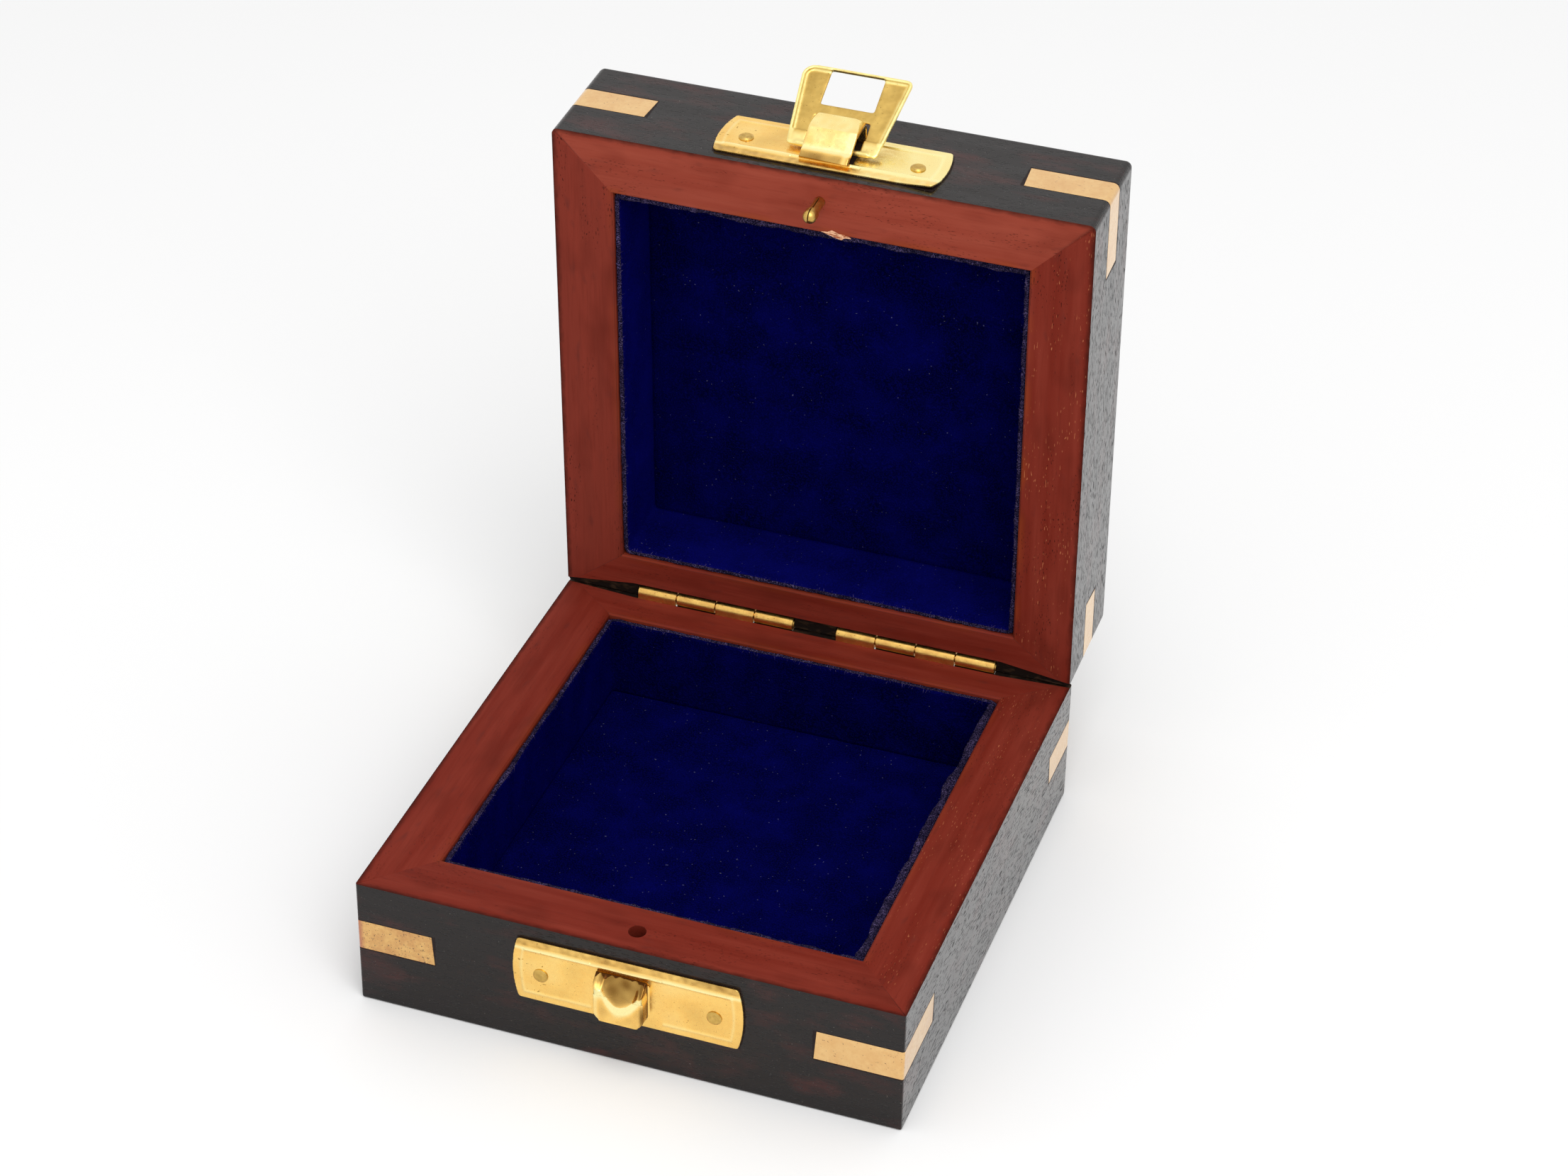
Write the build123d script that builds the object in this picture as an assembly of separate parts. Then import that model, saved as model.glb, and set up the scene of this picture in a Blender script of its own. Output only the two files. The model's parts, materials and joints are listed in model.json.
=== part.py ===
"""A small hardwood box for a pocket compass: hinged lid, brass corner inlays, velvet wells, stamped hasp.

Millimetres, +Z up, +X to the right, +Y to the back. The origin is the centre of the underside of the base,
and the lid is drawn standing open on its stop. Lid pieces are first laid out on the closed box, then opened.
"""
from build123d import *
from dataclasses import dataclass
from math import atan2, cos, hypot, radians, sin, tan
import os

os.makedirs("parts", exist_ok=True)

# Box
WIDTH = 114.0
DEPTH = 114.0
BASE_HEIGHT = 29.1
LID_HEIGHT = 27.3
WALL = 12.9
REAR_WALL = 10.4
PANEL = 8.5
REBATE_WIDTH = 3.0
REBATE_HEIGHT = 4.5
RIM_GAP = 0.1
BASE_SOFTENING = 0.5
LID_SOFTENING = 1.4
MOUTH_EASE = 0.35
MITRE_RUN = 0.2

# Velvet lining of the wells
LINING = 0.8
LINING_DROP = 0.9

# Hinges: how far the lid opens until it lies on its stop, and the axis above the base rim
STAND_ANGLE = 88.0
STOP_GAP = 0.03
AXIS_RISE = 1.05
BARREL_RADIUS = 1.5
LEAF_SHEET = 0.6
LEAF_DROP = 10.6
HINGE_INSET = 16.6
HINGE_SPACING = 10.0
KNUCKLES = 4
KNUCKLE_GAP = 0.3
SEAM_GAP = 0.12
PIN_PLAY = 0.03
PIN_HEAD_RADIUS = 1.1
PIN_HEAD_RISE = 0.25
POCKET_PLAY = 0.1
BARREL_ROOM = 0.25
BASE_RELIEF_DEPTH = 0.08
LID_RELIEF_DEPTH = 0.5
LID_RELIEF_EXTRA = 0.8
BASE_RELIEF_CORNER = 1.5
LID_RELIEF_CORNER = 1.3
RELIEF_PAST_HINGE = 1.2
NAILS_PER_LEAF = 3
NAIL_RADIUS = 0.55
NAIL_HEAD_RADIUS = 1.05
NAIL_HEAD = 0.35
NAIL_LENGTH = 5.0
NAIL_EDGE = 4.2
NAIL_LINE = 3.0
SEAT_PLAY = 0.02
NAIL_CROWN = 0.75
SHANK_SIDES = 6
HEAD_SIDES = 8
HEAD_CROWN = 0.6
HEAD_FLAT = 0.72

# Corner inlays: a strip let in flush round each corner, its free ends cut a little out of square
INLAY_HEIGHT = 7.0
INLAY_SHEET = 1.6
BASE_INLAY_DROP = 9.1
LID_INLAY_DROP = 10.3
INLAY_SLANT = 0.5
BASE_INLAY_LEGS = {"front_left": (16.5, 17.0), "front_right": (18.3, 18.8),
                   "back_left": (16.0, 16.5), "back_right": (16.0, 15.2)}
LID_INLAY_LEGS = {"front_left": (16.5, 17.5), "front_right": (18.3, 18.2),
                  "back_left": (16.0, 16.0), "back_right": (16.5, 15.0)}

# Stamped plates on the front, and their round-headed pins
SHEET = 0.7
PLATE_CORNER = 0.8
PLATE_BULGE = 1.1
BEAD_RADIUS = 0.5
BEAD_RISE = 0.35
BEAD_END = 1.6
CATCH_CENTRE_X = 0.55
CATCH_HALF_WIDTH = 22.95
CATCH_DROP = 3.1
CATCH_HEIGHT = 14.9
CATCH_BEAD_DROP = 2.2
HASP_CENTRE_X = -0.15
HASP_HALF_WIDTH = 22.95
HASP_RISE = 2.2
HASP_HEIGHT = 14.1
HASP_BEAD_RISE = 2.6
PLATE_PIN_SPREAD = 36.2
CATCH_PIN_FOOT = 6.7
HASP_PIN_FOOT = 8.4
PLATE_PIN_RADIUS = 0.8
PLATE_PIN_HEAD_RADIUS = 1.55
PLATE_PIN_HEAD = 0.45
PLATE_PIN_LENGTH = 9.0

# Knob of the catch: a tongue pressed out of the plate, with its heights counted from the plate's foot
KNOB_CENTRE_X = -0.45
KNOB_WIDTH = 10.6
KNOB_TOP = 10.7
KNOB_CREST = 8.6
KNOB_CREST_PROUD = 4.3
KNOB_HOLLOW = 7.7
KNOB_HOLLOW_PROUD = 3.3
KNOB_BELLY = 2.4
KNOB_BELLY_PROUD = 3.4
KNOB_FOOT = 0.6
KNOB_SHOULDERS = (1.9, 1.1)
KNOB_CORNER = 3.0
KNOB_SHEET = 0.6
KNOB_SLIT = 0.3
KNOB_SLIT_LENGTH = 6.8

# Hasp flap, counted from the middle of its bar: along it, and off its plane towards its inner side
BAR_ABOVE_RIM = 8.1
BAR_PROUD = 1.75
BAR_RADIUS = 0.6
FLAP_CENTRE_X = -0.1
FLAP_LEAN = 25.7
FLAP_CLOSED_TILT = 6.6
FLAP_LENGTH = 19.03
FLAP_HEEL = 0.5
FLAP_TIP_HALF_WIDTH = 11.7
FLAP_HEEL_HALF_WIDTH = 9.56
FLAP_SHEET = 0.5
FLAP_RIM = 0.7
FLAP_FLANGE = 1.1
FLAP_BACK = 0.8
FLAP_TIP_CORNERS = (2.6, 1.2)
FLAP_HEEL_CORNER = 0.9
FLAP_FOLD = 0.45
LAND_END = 3.2
WINDOW_HALF_WIDTH = 5.6
WINDOW_START = 10.4
SLOT_HALF_WIDTH = 5.8
SLOT_END = 7.6

# Bridge over the bar: its height, the ramp and the back that the flap leans on
BRIDGE_CENTRE_X = -0.35
BRIDGE_WIDTH = 10.5
BRIDGE_SHEET = 0.6
BRIDGE_SHOULDERS = (1.4, 2.2)
BRIDGE_PROUD = 6.3
BRIDGE_NEAR = 4.0
BRIDGE_RAMP_NEAR = 3.0
BRIDGE_RAMP_FOOT_PROUD = 2.2
BRIDGE_RAMP_FAR = 1.8
BRIDGE_RAMP_TOP_PROUD = 5.15
BRIDGE_CREST = 5.6
BRIDGE_FAR = 7.7
BRIDGE_REST_GAP = 0.03
BRIDGE_SIDE_ROOM = 0.3

# Locating pin of the lid rim and its hole in the base rim
LOCATING_X = 0.3
LOCATING_INSET = 5.75
LOCATING_RADIUS = 1.1
LOCATING_TIP_RADIUS = 1.45
LOCATING_TIP = 2.6
LOCATING_PROUD = 7.5
LOCATING_SUNK = 8.0
LOCATING_SPLIT = 0.25
LOCATING_PLAY = 0.35
LOCATING_FLOOR_PLAY = 0.9

# Worked out from the sizes above
FRONT = -DEPTH / 2
REAR = DEPTH / 2
LID_RIM = BASE_HEIGHT + RIM_GAP
STAND = radians(STAND_ANGLE)
AXIS_INSET = ((AXIS_RISE + BASE_RELIEF_DEPTH) * sin(STAND) - STOP_GAP) / (1 - cos(STAND))
STOP_SLOPE = 1 / tan(STAND)
CATCH_FOOT = BASE_HEIGHT - CATCH_DROP - CATCH_HEIGHT
AXIS_Y = REAR - AXIS_INSET
AXIS_Z = BASE_HEIGHT + AXIS_RISE
HINGE_AXIS = Axis((0, AXIS_Y, AXIS_Z), (1, 0, 0))
LEAF_FRONT = AXIS_Y - BARREL_RADIUS
PIN_RADIUS = BARREL_RADIUS - LEAF_SHEET - PIN_PLAY
HINGES_END = WIDTH / 2 - HINGE_INSET
HINGE_LENGTH = HINGES_END - HINGE_SPACING / 2
HINGE_CENTRES = {"left": HINGE_LENGTH / 2 - HINGES_END, "right": HINGES_END - HINGE_LENGTH / 2}
BAR_Z = LID_RIM + BAR_ABOVE_RIM
FLAP_TRAVEL = 180.0 - FLAP_LEAN - FLAP_CLOSED_TILT
FRONT_PLANE = Plane.XZ.offset(-FRONT)
PAST = 1.0


@dataclass(frozen=True)
class Half:
    """One half of the box as a tray with its rim up, before the lid is turned over."""
    name: str
    height: float
    softening: float
    axis_over_rim: float
    relief_depth: float
    relief_slope: float
    relief_reach: float
    relief_corner: float
    barrel_room: float
    inlay_drop: float
    inlay_legs: dict


LEAF_REACH = AXIS_INSET + BARREL_RADIUS
BASE = Half("base", BASE_HEIGHT, BASE_SOFTENING, AXIS_RISE, BASE_RELIEF_DEPTH, STOP_SLOPE, LEAF_REACH,
            BASE_RELIEF_CORNER, 0.0, BASE_INLAY_DROP, BASE_INLAY_LEGS)
LID = Half("lid", LID_HEIGHT, LID_SOFTENING, RIM_GAP - AXIS_RISE, LID_RELIEF_DEPTH, 0.0,
           LEAF_REACH + LID_RELIEF_EXTRA, LID_RELIEF_CORNER, LID_RELIEF_EXTRA, LID_INLAY_DROP, LID_INLAY_LEGS)


def block(x0, x1, y0, y1, z0, z1):
    """An upright block between two corners."""
    return Pos((x0 + x1) / 2, (y0 + y1) / 2, (z0 + z1) / 2) * Box(x1 - x0, y1 - y0, z1 - z0)


def plan_prism(points, z0, z1):
    """A prism over an outline of x, y points."""
    return extrude(Pos(0, 0, z0) * Polygon(*points, align=None), z1 - z0, dir=(0, 0, 1))


def side_prism(points, x0, x1):
    """A prism along X over an outline of y, z points."""
    return extrude(Plane.YZ.offset(x0) * Polygon(*points, align=None), x1 - x0, dir=(1, 0, 0))


def face_prism(points, y0, y1):
    """A prism along Y over an outline of x, z points."""
    return extrude(Plane.XZ.offset(-y0) * Polygon(*points, align=None), y1 - y0, dir=(0, 1, 0))


def closed_lid(shape):
    """Turns a tray-way-up piece over onto the base."""
    return Pos(0, 0, LID_RIM + LID_HEIGHT) * mirror(shape, about=Plane.XY)


def opened(shape):
    """Swings a piece of the closed lid back to its stop."""
    return shape.rotate(HINGE_AXIS, -STAND_ANGLE)


def set_in_place(half, shape):
    """Puts a tray-way-up piece where it stands on the box."""
    return shape if half is BASE else opened(closed_lid(shape))


# Wooden trays


def envelope(half):
    """The outside of a tray, its outer corners and closed-side edges eased."""
    body = block(-WIDTH / 2, WIDTH / 2, FRONT, REAR, 0, half.height)
    uprights = body.edges().filter_by(Axis.Z)
    bottom = body.faces().sort_by(Axis.Z)[0].edges()
    return fillet(uprights + bottom, half.softening)


def well(half, grow=0.0, floor=PANEL):
    """The space inside the boards, above a floor height."""
    side = WIDTH / 2 - WALL + grow
    return block(-side, side, FRONT + WALL - grow, REAR - REAR_WALL + grow, floor, half.height + PAST)


def mouth(half):
    """The eased edge round the top of the well."""
    side = WIDTH / 2 - WALL
    low_y, high_y = FRONT + WALL, REAR - REAR_WALL
    sections = []
    for spread, z in ((0.0, half.height - MOUTH_EASE), (MOUTH_EASE, half.height)):
        outline = Rectangle(2 * (side + spread), high_y - low_y + 2 * spread)
        sections.append(Pos(0, (low_y + high_y) / 2, z) * outline)
    return loft(sections)


def rear_bevel(half):
    """What is planed off the lid's rear rim edge, up to the axis, so that it clears the base as it turns."""
    planed = -half.axis_over_rim
    points = [(REAR - planed - PAST, half.height + PAST), (REAR + PAST, half.height - planed - PAST),
              (REAR + PAST, half.height + PAST)]
    return side_prism(points, -WIDTH, WIDTH)


def rear_relief(half):
    """The shallow trench along the rear rim, as wide as the hinges need and narrower at the corners.

    In the base its floor is planed parallel to the lid's rear face, which comes to lie on it: the stop.
    """
    straight = HINGES_END + RELIEF_PAST_HINGE
    edge, corner = REAR - half.relief_reach, REAR - half.relief_corner
    end = WIDTH / 2 + PAST
    points = [(-end, corner), (-straight, edge), (straight, edge), (end, corner), (end, REAR + PAST),
              (-end, REAR + PAST)]
    floor, top = half.height - half.relief_depth, half.height + PAST
    over_floor = [(FRONT, floor - DEPTH * half.relief_slope), (REAR + PAST, floor + PAST * half.relief_slope),
                  (REAR + PAST, top), (FRONT, top)]
    return plan_prism(points, 0, top) & side_prism(over_floor, -WIDTH, WIDTH)


def hinge_pockets(half):
    """The rear recesses for the leaves, and the room that the barrels turn in."""
    axis_z = half.height + half.axis_over_rim
    pockets = []
    for centre in HINGE_CENTRES.values():
        left = centre - HINGE_LENGTH / 2 - POCKET_PLAY
        right = centre + HINGE_LENGTH / 2 + POCKET_PLAY
        pockets.append(block(left, right, LEAF_FRONT, REAR + PAST, axis_z - LEAF_DROP - POCKET_PLAY,
                             half.height + PAST))
        if half.barrel_room:
            pockets.append(block(left - PIN_HEAD_RISE, right + PIN_HEAD_RISE, REAR - half.relief_reach,
                                 REAR + PAST, axis_z - BARREL_RADIUS - BARREL_ROOM, half.height + PAST))
    return pockets


def panel_rebate(half):
    """The step round the inside of the closed side that takes the panel's lip."""
    grown = well(half, REBATE_WIDTH, -PAST)
    return grown & block(-WIDTH, WIDTH, -DEPTH, DEPTH, -PAST, REBATE_HEIGHT)


def mitre_wedges():
    """Outlines of the four boards, parted on the mitres from outer to inner corner."""
    half_w, in_x = WIDTH / 2, WIDTH / 2 - WALL
    in_front, in_back = FRONT + WALL, REAR - REAR_WALL
    out_x, out_front = half_w + WALL * MITRE_RUN, FRONT - WALL * MITRE_RUN
    out_back = REAR + REAR_WALL * MITRE_RUN
    front_left, front_right = (-out_x, out_front), (out_x, out_front)
    back_left, back_right = (-out_x, out_back), (out_x, out_back)
    return {
        "front": [front_left, front_right, (in_x, in_front), (-in_x, in_front)],
        "right": [front_right, back_right, (in_x, in_back), (in_x, in_front)],
        "back": [back_right, back_left, (-in_x, in_back), (in_x, in_back)],
        "left": [back_left, front_left, (-in_x, in_front), (-in_x, in_back)],
    }


def panel(half):
    """The bottom or top panel: its field fills the well, and its lip lies in the rebate."""
    field = well(half, 0.0, 0.0) & block(-WIDTH, WIDTH, -DEPTH, DEPTH, 0, PANEL)
    lip = well(half, REBATE_WIDTH, 0.0) & block(-WIDTH, WIDTH, -DEPTH, DEPTH, 0, REBATE_HEIGHT)
    return field + lip


def boards(half, tools):
    """The four mitred boards of a tray, with everything that is let into them cut out."""
    frame = envelope(half) - well(half, 0.0, -PAST) - mouth(half) - panel_rebate(half)
    frame = frame - rear_relief(half)
    if half is LID:
        frame = frame - rear_bevel(half)
    for tool in hinge_pockets(half) + tools:
        frame = frame - tool
    return {side: frame & plan_prism(points, -PAST, half.height + PAST)
            for side, points in mitre_wedges().items()}


def lining_floor(half):
    """The velvet on the well's floor."""
    return well(half) & block(-WIDTH, WIDTH, -DEPTH, DEPTH, PANEL, PANEL + LINING)


def lining_walls(half):
    """The velvet strip round the well's walls, ending a little below the rim."""
    low, high = PANEL + LINING, half.height - LINING_DROP
    ring = well(half) - well(half, -LINING, 0.0)
    return ring & block(-WIDTH, WIDTH, -DEPTH, DEPTH, low, high)


def inlays(half):
    """The four corner strips of a tray, each bent round its corner and flush with both faces."""
    high = half.height - half.inlay_drop
    low = high - INLAY_HEIGHT
    skin = envelope(half) - block(-WIDTH / 2 + INLAY_SHEET, WIDTH / 2 - INLAY_SHEET, FRONT + INLAY_SHEET,
                                  REAR - INLAY_SHEET, -PAST, half.height + PAST)
    strips = {}
    for corner, (across, along) in half.inlay_legs.items():
        face_y = FRONT if corner.startswith("front") else REAR
        into_y = 1 if face_y == FRONT else -1
        side_x = -WIDTH / 2 if corner.endswith("left") else WIDTH / 2
        into_x = 1 if side_x < 0 else -1
        front_leg = [(side_x - into_x, low), (side_x + into_x * across, low),
                     (side_x + into_x * (across - INLAY_SLANT), high), (side_x - into_x, high)]
        side_leg = [(face_y - into_y, low), (face_y + into_y * (along - INLAY_SLANT), low),
                    (face_y + into_y * along, high), (face_y - into_y, high)]
        across_face = face_prism(front_leg, min(face_y, face_y + into_y * INLAY_SHEET),
                                 max(face_y, face_y + into_y * INLAY_SHEET))
        along_side = side_prism(side_leg, min(side_x, side_x + into_x * INLAY_SHEET),
                                max(side_x, side_x + into_x * INLAY_SHEET))
        strips[corner] = skin & (across_face + along_side)
    return strips


# Hinges


def knuckle_spans(centre):
    """Start and end of each knuckle along the barrel."""
    pitch = (HINGE_LENGTH + KNUCKLE_GAP) / KNUCKLES
    start = centre - HINGE_LENGTH / 2
    return [(start + i * pitch, start + (i + 1) * pitch - KNUCKLE_GAP) for i in range(KNUCKLES)]


def rolled_leaf(centre, first_knuckle):
    """A leaf hanging below the axis, its knuckles rolled back from the top of the sheet."""
    bore = BARREL_RADIUS - LEAF_SHEET
    sheet_back = LEAF_FRONT + LEAF_SHEET
    spans = knuckle_spans(centre)
    leaf = block(spans[0][0], spans[-1][1], LEAF_FRONT, sheet_back, AXIS_Z - LEAF_DROP, AXIS_Z)
    clear = BARREL_RADIUS + BARREL_ROOM
    for index, (start, end) in enumerate(spans):
        if index % 2 != first_knuckle:
            leaf = leaf - block(start - KNUCKLE_GAP, end + KNUCKLE_GAP, LEAF_FRONT - PAST, sheet_back + PAST,
                                AXIS_Z - clear, AXIS_Z + PAST)
    leaf = leaf - Plane.YZ.offset(-WIDTH) * Pos(AXIS_Y, AXIS_Z, WIDTH) * Cylinder(bore, 2 * WIDTH)
    for index, (start, end) in enumerate(spans):
        if index % 2 == first_knuckle:
            middle = (start + end) / 2
            roll = Plane.YZ.offset(middle) * Pos(AXIS_Y, AXIS_Z, 0) * Cylinder(BARREL_RADIUS, end - start)
            roll = roll - Plane.YZ.offset(middle) * Pos(AXIS_Y, AXIS_Z, 0) * Cylinder(bore, 2 * HINGE_LENGTH)
            seam = block(start - PAST, end + PAST, sheet_back, sheet_back + SEAM_GAP,
                         AXIS_Z - BARREL_RADIUS - PAST, AXIS_Z - bore / 2)
            leaf = leaf + (roll - seam)
    return leaf


def hinge_pin(centre):
    """The pin through a barrel, its ends spread into low heads."""
    pin = Plane.YZ.offset(centre) * Pos(AXIS_Y, AXIS_Z, 0) * Cylinder(PIN_RADIUS, HINGE_LENGTH)
    for end in (-1, 1):
        seat = Plane((centre + end * HINGE_LENGTH / 2, AXIS_Y, AXIS_Z), z_dir=(end, 0, 0))
        head = Pos(0, 0, PIN_HEAD_RISE / 2) * Cone(PIN_HEAD_RADIUS, PIN_RADIUS, PIN_HEAD_RISE)
        pin = pin + seat * head
    return pin


def leaf_nails(centre, play=0.0):
    """The nails of one leaf, driven forward into the board below the barrel, or with play their seats."""
    head_y = LEAF_FRONT + LEAF_SHEET
    spacing = (HINGE_LENGTH - 2 * NAIL_EDGE) / (NAILS_PER_LEAF - 1)
    nails = []
    for index in range(NAILS_PER_LEAF):
        x = centre + (index - (NAILS_PER_LEAF - 1) / 2) * spacing
        z = AXIS_Z - LEAF_DROP + NAIL_LINE
        place = Plane.XZ.offset(-head_y) * Pos(x, z, 0)
        shank = extrude(RegularPolygon(NAIL_RADIUS + play, SHANK_SIDES), NAIL_LENGTH + play, dir=(0, 0, 1))
        head = loft([RegularPolygon(NAIL_HEAD_RADIUS, HEAD_SIDES),
                     Pos(0, 0, -NAIL_HEAD) * RegularPolygon(NAIL_HEAD_RADIUS * NAIL_CROWN, HEAD_SIDES)])
        nails.append(place * (shank + head))
    return nails


def round_head(radius, rise):
    """A low head standing on its own plane: a short upright rim under a flat crown."""
    crown = rise * HEAD_CROWN
    rim = Pos(0, 0, (rise - crown) / 2) * Cylinder(radius, rise - crown)
    return rim + Pos(0, 0, rise - crown / 2) * Cone(radius, radius * HEAD_FLAT, crown)


# Stamped plates


def plate_sheet(centre_x, half_width, foot, height):
    """A thin plate on the front face, its ends bowed outwards."""
    left, right, top = centre_x - half_width, centre_x + half_width, foot + height
    middle = foot + height / 2
    outline = make_face(Line((left, foot), (right, foot))
                        + ThreePointArc((right, foot), (right + PLATE_BULGE, middle), (right, top))
                        + Line((right, top), (left, top))
                        + ThreePointArc((left, top), (left - PLATE_BULGE, middle), (left, foot)))
    outline = fillet(outline.vertices(), PLATE_CORNER)
    return extrude(FRONT_PLANE * outline, SHEET)


def bead(centre_x, half_width, z):
    """The raised line pressed along a plate."""
    length = 2 * (half_width - BEAD_END)
    rib = Plane.YZ.offset(centre_x) * Pos(FRONT - SHEET + BEAD_RADIUS - BEAD_RISE, z, 0)
    rib = rib * Cylinder(BEAD_RADIUS, length)
    return rib & block(-WIDTH, WIDTH, FRONT - SHEET - PAST, FRONT - SHEET / 2, 0, 2 * WIDTH)


def plate_pins(centre_x, z, play=0.0):
    """The two round-headed pins that hold a plate, or with play their seats."""
    pins = []
    for side in (-1, 1):
        seat = Plane.XZ.offset(-FRONT + SHEET) * Pos(centre_x + side * PLATE_PIN_SPREAD / 2, z, 0)
        shank = extrude(RegularPolygon(PLATE_PIN_RADIUS + play, SHANK_SIDES), PLATE_PIN_LENGTH + play,
                        dir=(0, 0, -1))
        shank = seat * shank
        pins.append(shank + seat * round_head(PLATE_PIN_HEAD_RADIUS, PLATE_PIN_HEAD))
    return pins


def pressed_form(points, centre_x, width, shoulders, proud, shrink=0.0, open_below=None):
    """A form pressed out of a sheet: a z, proud outline across a crowned outline of x and proud."""
    side = Plane.YZ * make_face(Polyline(*[(FRONT - out, z) for z, out in points], close=True))
    half = width / 2
    crown = make_face(Polyline((-half, -PAST), (half, -PAST), (half, proud), (-half, proud), close=True))
    for end, radius in zip((-1, 0), shoulders):
        crown = fillet(crown.vertices().sort_by(Axis.Y)[-2:].sort_by(Axis.X)[end], radius)
    if shrink:
        side, crown = offset(side, -shrink), offset(crown, -shrink)
    if open_below is not None:
        crown = crown + Pos(0, open_below / 2 - PAST) * Rectangle(2 * width, open_below + 2 * PAST)
    low = min(z for z, out in points)
    high = max(z for z, out in points)
    across = extrude(Pos(centre_x - width, 0, 0) * side, 2 * width)
    seen_down = Plane((centre_x, FRONT, low - PAST), x_dir=(-1, 0, 0), z_dir=(0, 0, 1))
    return across & extrude(seen_down * crown, high - low + 2 * PAST)


def rounded_below(centre_x, width, low, corner, shrink=0.0):
    """The room of a pressed form as seen from the front, with its two lower corners rounded."""
    half, high = width / 2, low + 2 * width
    seen = make_face(Polyline((-half, low), (half, low), (half, high), (-half, high), close=True))
    seen = fillet(seen.vertices().sort_by(Axis.Y)[:2], corner)
    if shrink:
        seen = offset(seen, -shrink)
    return extrude(FRONT_PLANE * Pos(centre_x, 0, 0) * seen, width, both=True)


def knob_outline():
    """The knob from the side: a steep top, a crest that hooks the flap, a hollow and a full belly."""
    foot = CATCH_FOOT
    return [(foot + KNOB_FOOT, -PAST), (foot + KNOB_FOOT, KNOB_BELLY_PROUD / 2), (foot + KNOB_BELLY / 2,
            KNOB_BELLY_PROUD), (foot + KNOB_BELLY, KNOB_BELLY_PROUD), (foot + KNOB_HOLLOW, KNOB_HOLLOW_PROUD),
            (foot + KNOB_CREST - KNOB_SLIT, KNOB_CREST_PROUD), (foot + KNOB_CREST, KNOB_CREST_PROUD),
            (foot + KNOB_TOP, SHEET), (foot + KNOB_TOP, -PAST)]


def catch_plate():
    """The base plate with its knob, cut free of the sheet along the top and part of the sides."""
    plate = plate_sheet(CATCH_CENTRE_X, CATCH_HALF_WIDTH, CATCH_FOOT, CATCH_HEIGHT)
    plate = plate + bead(CATCH_CENTRE_X, CATCH_HALF_WIDTH, CATCH_FOOT + CATCH_HEIGHT - CATCH_BEAD_DROP)
    size = (KNOB_CENTRE_X, KNOB_WIDTH, KNOB_SHOULDERS, KNOB_CREST_PROUD)
    seen = (KNOB_CENTRE_X, KNOB_WIDTH, CATCH_FOOT + KNOB_FOOT, KNOB_CORNER)
    outer = pressed_form(knob_outline(), *size) & rounded_below(*seen)
    inner = pressed_form(knob_outline(), *size, shrink=KNOB_SHEET) & rounded_below(*seen, shrink=KNOB_SHEET)
    top = CATCH_FOOT + KNOB_TOP
    slit = block(KNOB_CENTRE_X - KNOB_WIDTH / 2 - KNOB_SLIT, KNOB_CENTRE_X + KNOB_WIDTH / 2 + KNOB_SLIT,
                 FRONT - SHEET - PAST, FRONT + PAST, top - KNOB_SLIT_LENGTH, top + KNOB_SLIT)
    outside = block(-WIDTH, WIDTH, FRONT - WIDTH, FRONT, 0, 2 * WIDTH)
    return (plate - slit + (outer & outside)) - inner


def bridge_outline():
    """The bridge from the side, counted from the flap's bar: ramp, crest, and the back the flap leans on."""
    lean = radians(FLAP_LEAN)
    rest_radius = hypot(SLOT_END, FLAP_BACK) - BRIDGE_REST_GAP
    rest_angle = lean - atan2(FLAP_BACK, SLOT_END)
    rest_z = rest_radius * cos(rest_angle)
    rest_proud = BAR_PROUD + rest_radius * sin(rest_angle)
    points = [(-BRIDGE_NEAR, -PAST), (-BRIDGE_NEAR, SHEET), (-BRIDGE_RAMP_NEAR, BRIDGE_RAMP_FOOT_PROUD),
              (BRIDGE_RAMP_FAR, BRIDGE_RAMP_TOP_PROUD), (BRIDGE_CREST, BRIDGE_PROUD), (rest_z, rest_proud),
              (BRIDGE_FAR, rest_proud - SHEET), (BRIDGE_FAR, -PAST)]
    return [(BAR_Z + z, out) for z, out in points]


def hasp_plate():
    """The lid plate with the bridge that holds the flap's bar."""
    foot = LID_RIM + HASP_RISE
    plate = plate_sheet(HASP_CENTRE_X, HASP_HALF_WIDTH, foot, HASP_HEIGHT)
    plate = plate + bead(HASP_CENTRE_X, HASP_HALF_WIDTH, foot + HASP_BEAD_RISE)
    size = (BRIDGE_CENTRE_X, BRIDGE_WIDTH, BRIDGE_SHOULDERS, BRIDGE_PROUD)
    outer = pressed_form(bridge_outline(), *size)
    inner = pressed_form(bridge_outline(), *size, shrink=BRIDGE_SHEET,
                         open_below=BRIDGE_PROUD - max(BRIDGE_SHOULDERS))
    half = BRIDGE_WIDTH / 2 + BRIDGE_SIDE_ROOM
    window = block(BRIDGE_CENTRE_X - half, BRIDGE_CENTRE_X + half, FRONT - SHEET - PAST, FRONT + PAST,
                   BAR_Z - BRIDGE_NEAR + BRIDGE_SHEET, BAR_Z + BRIDGE_FAR - BRIDGE_SHEET)
    outside = block(-WIDTH, WIDTH, FRONT - WIDTH, FRONT, 0, 2 * WIDTH)
    return (plate - window) + ((outer & outside) - inner)


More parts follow.
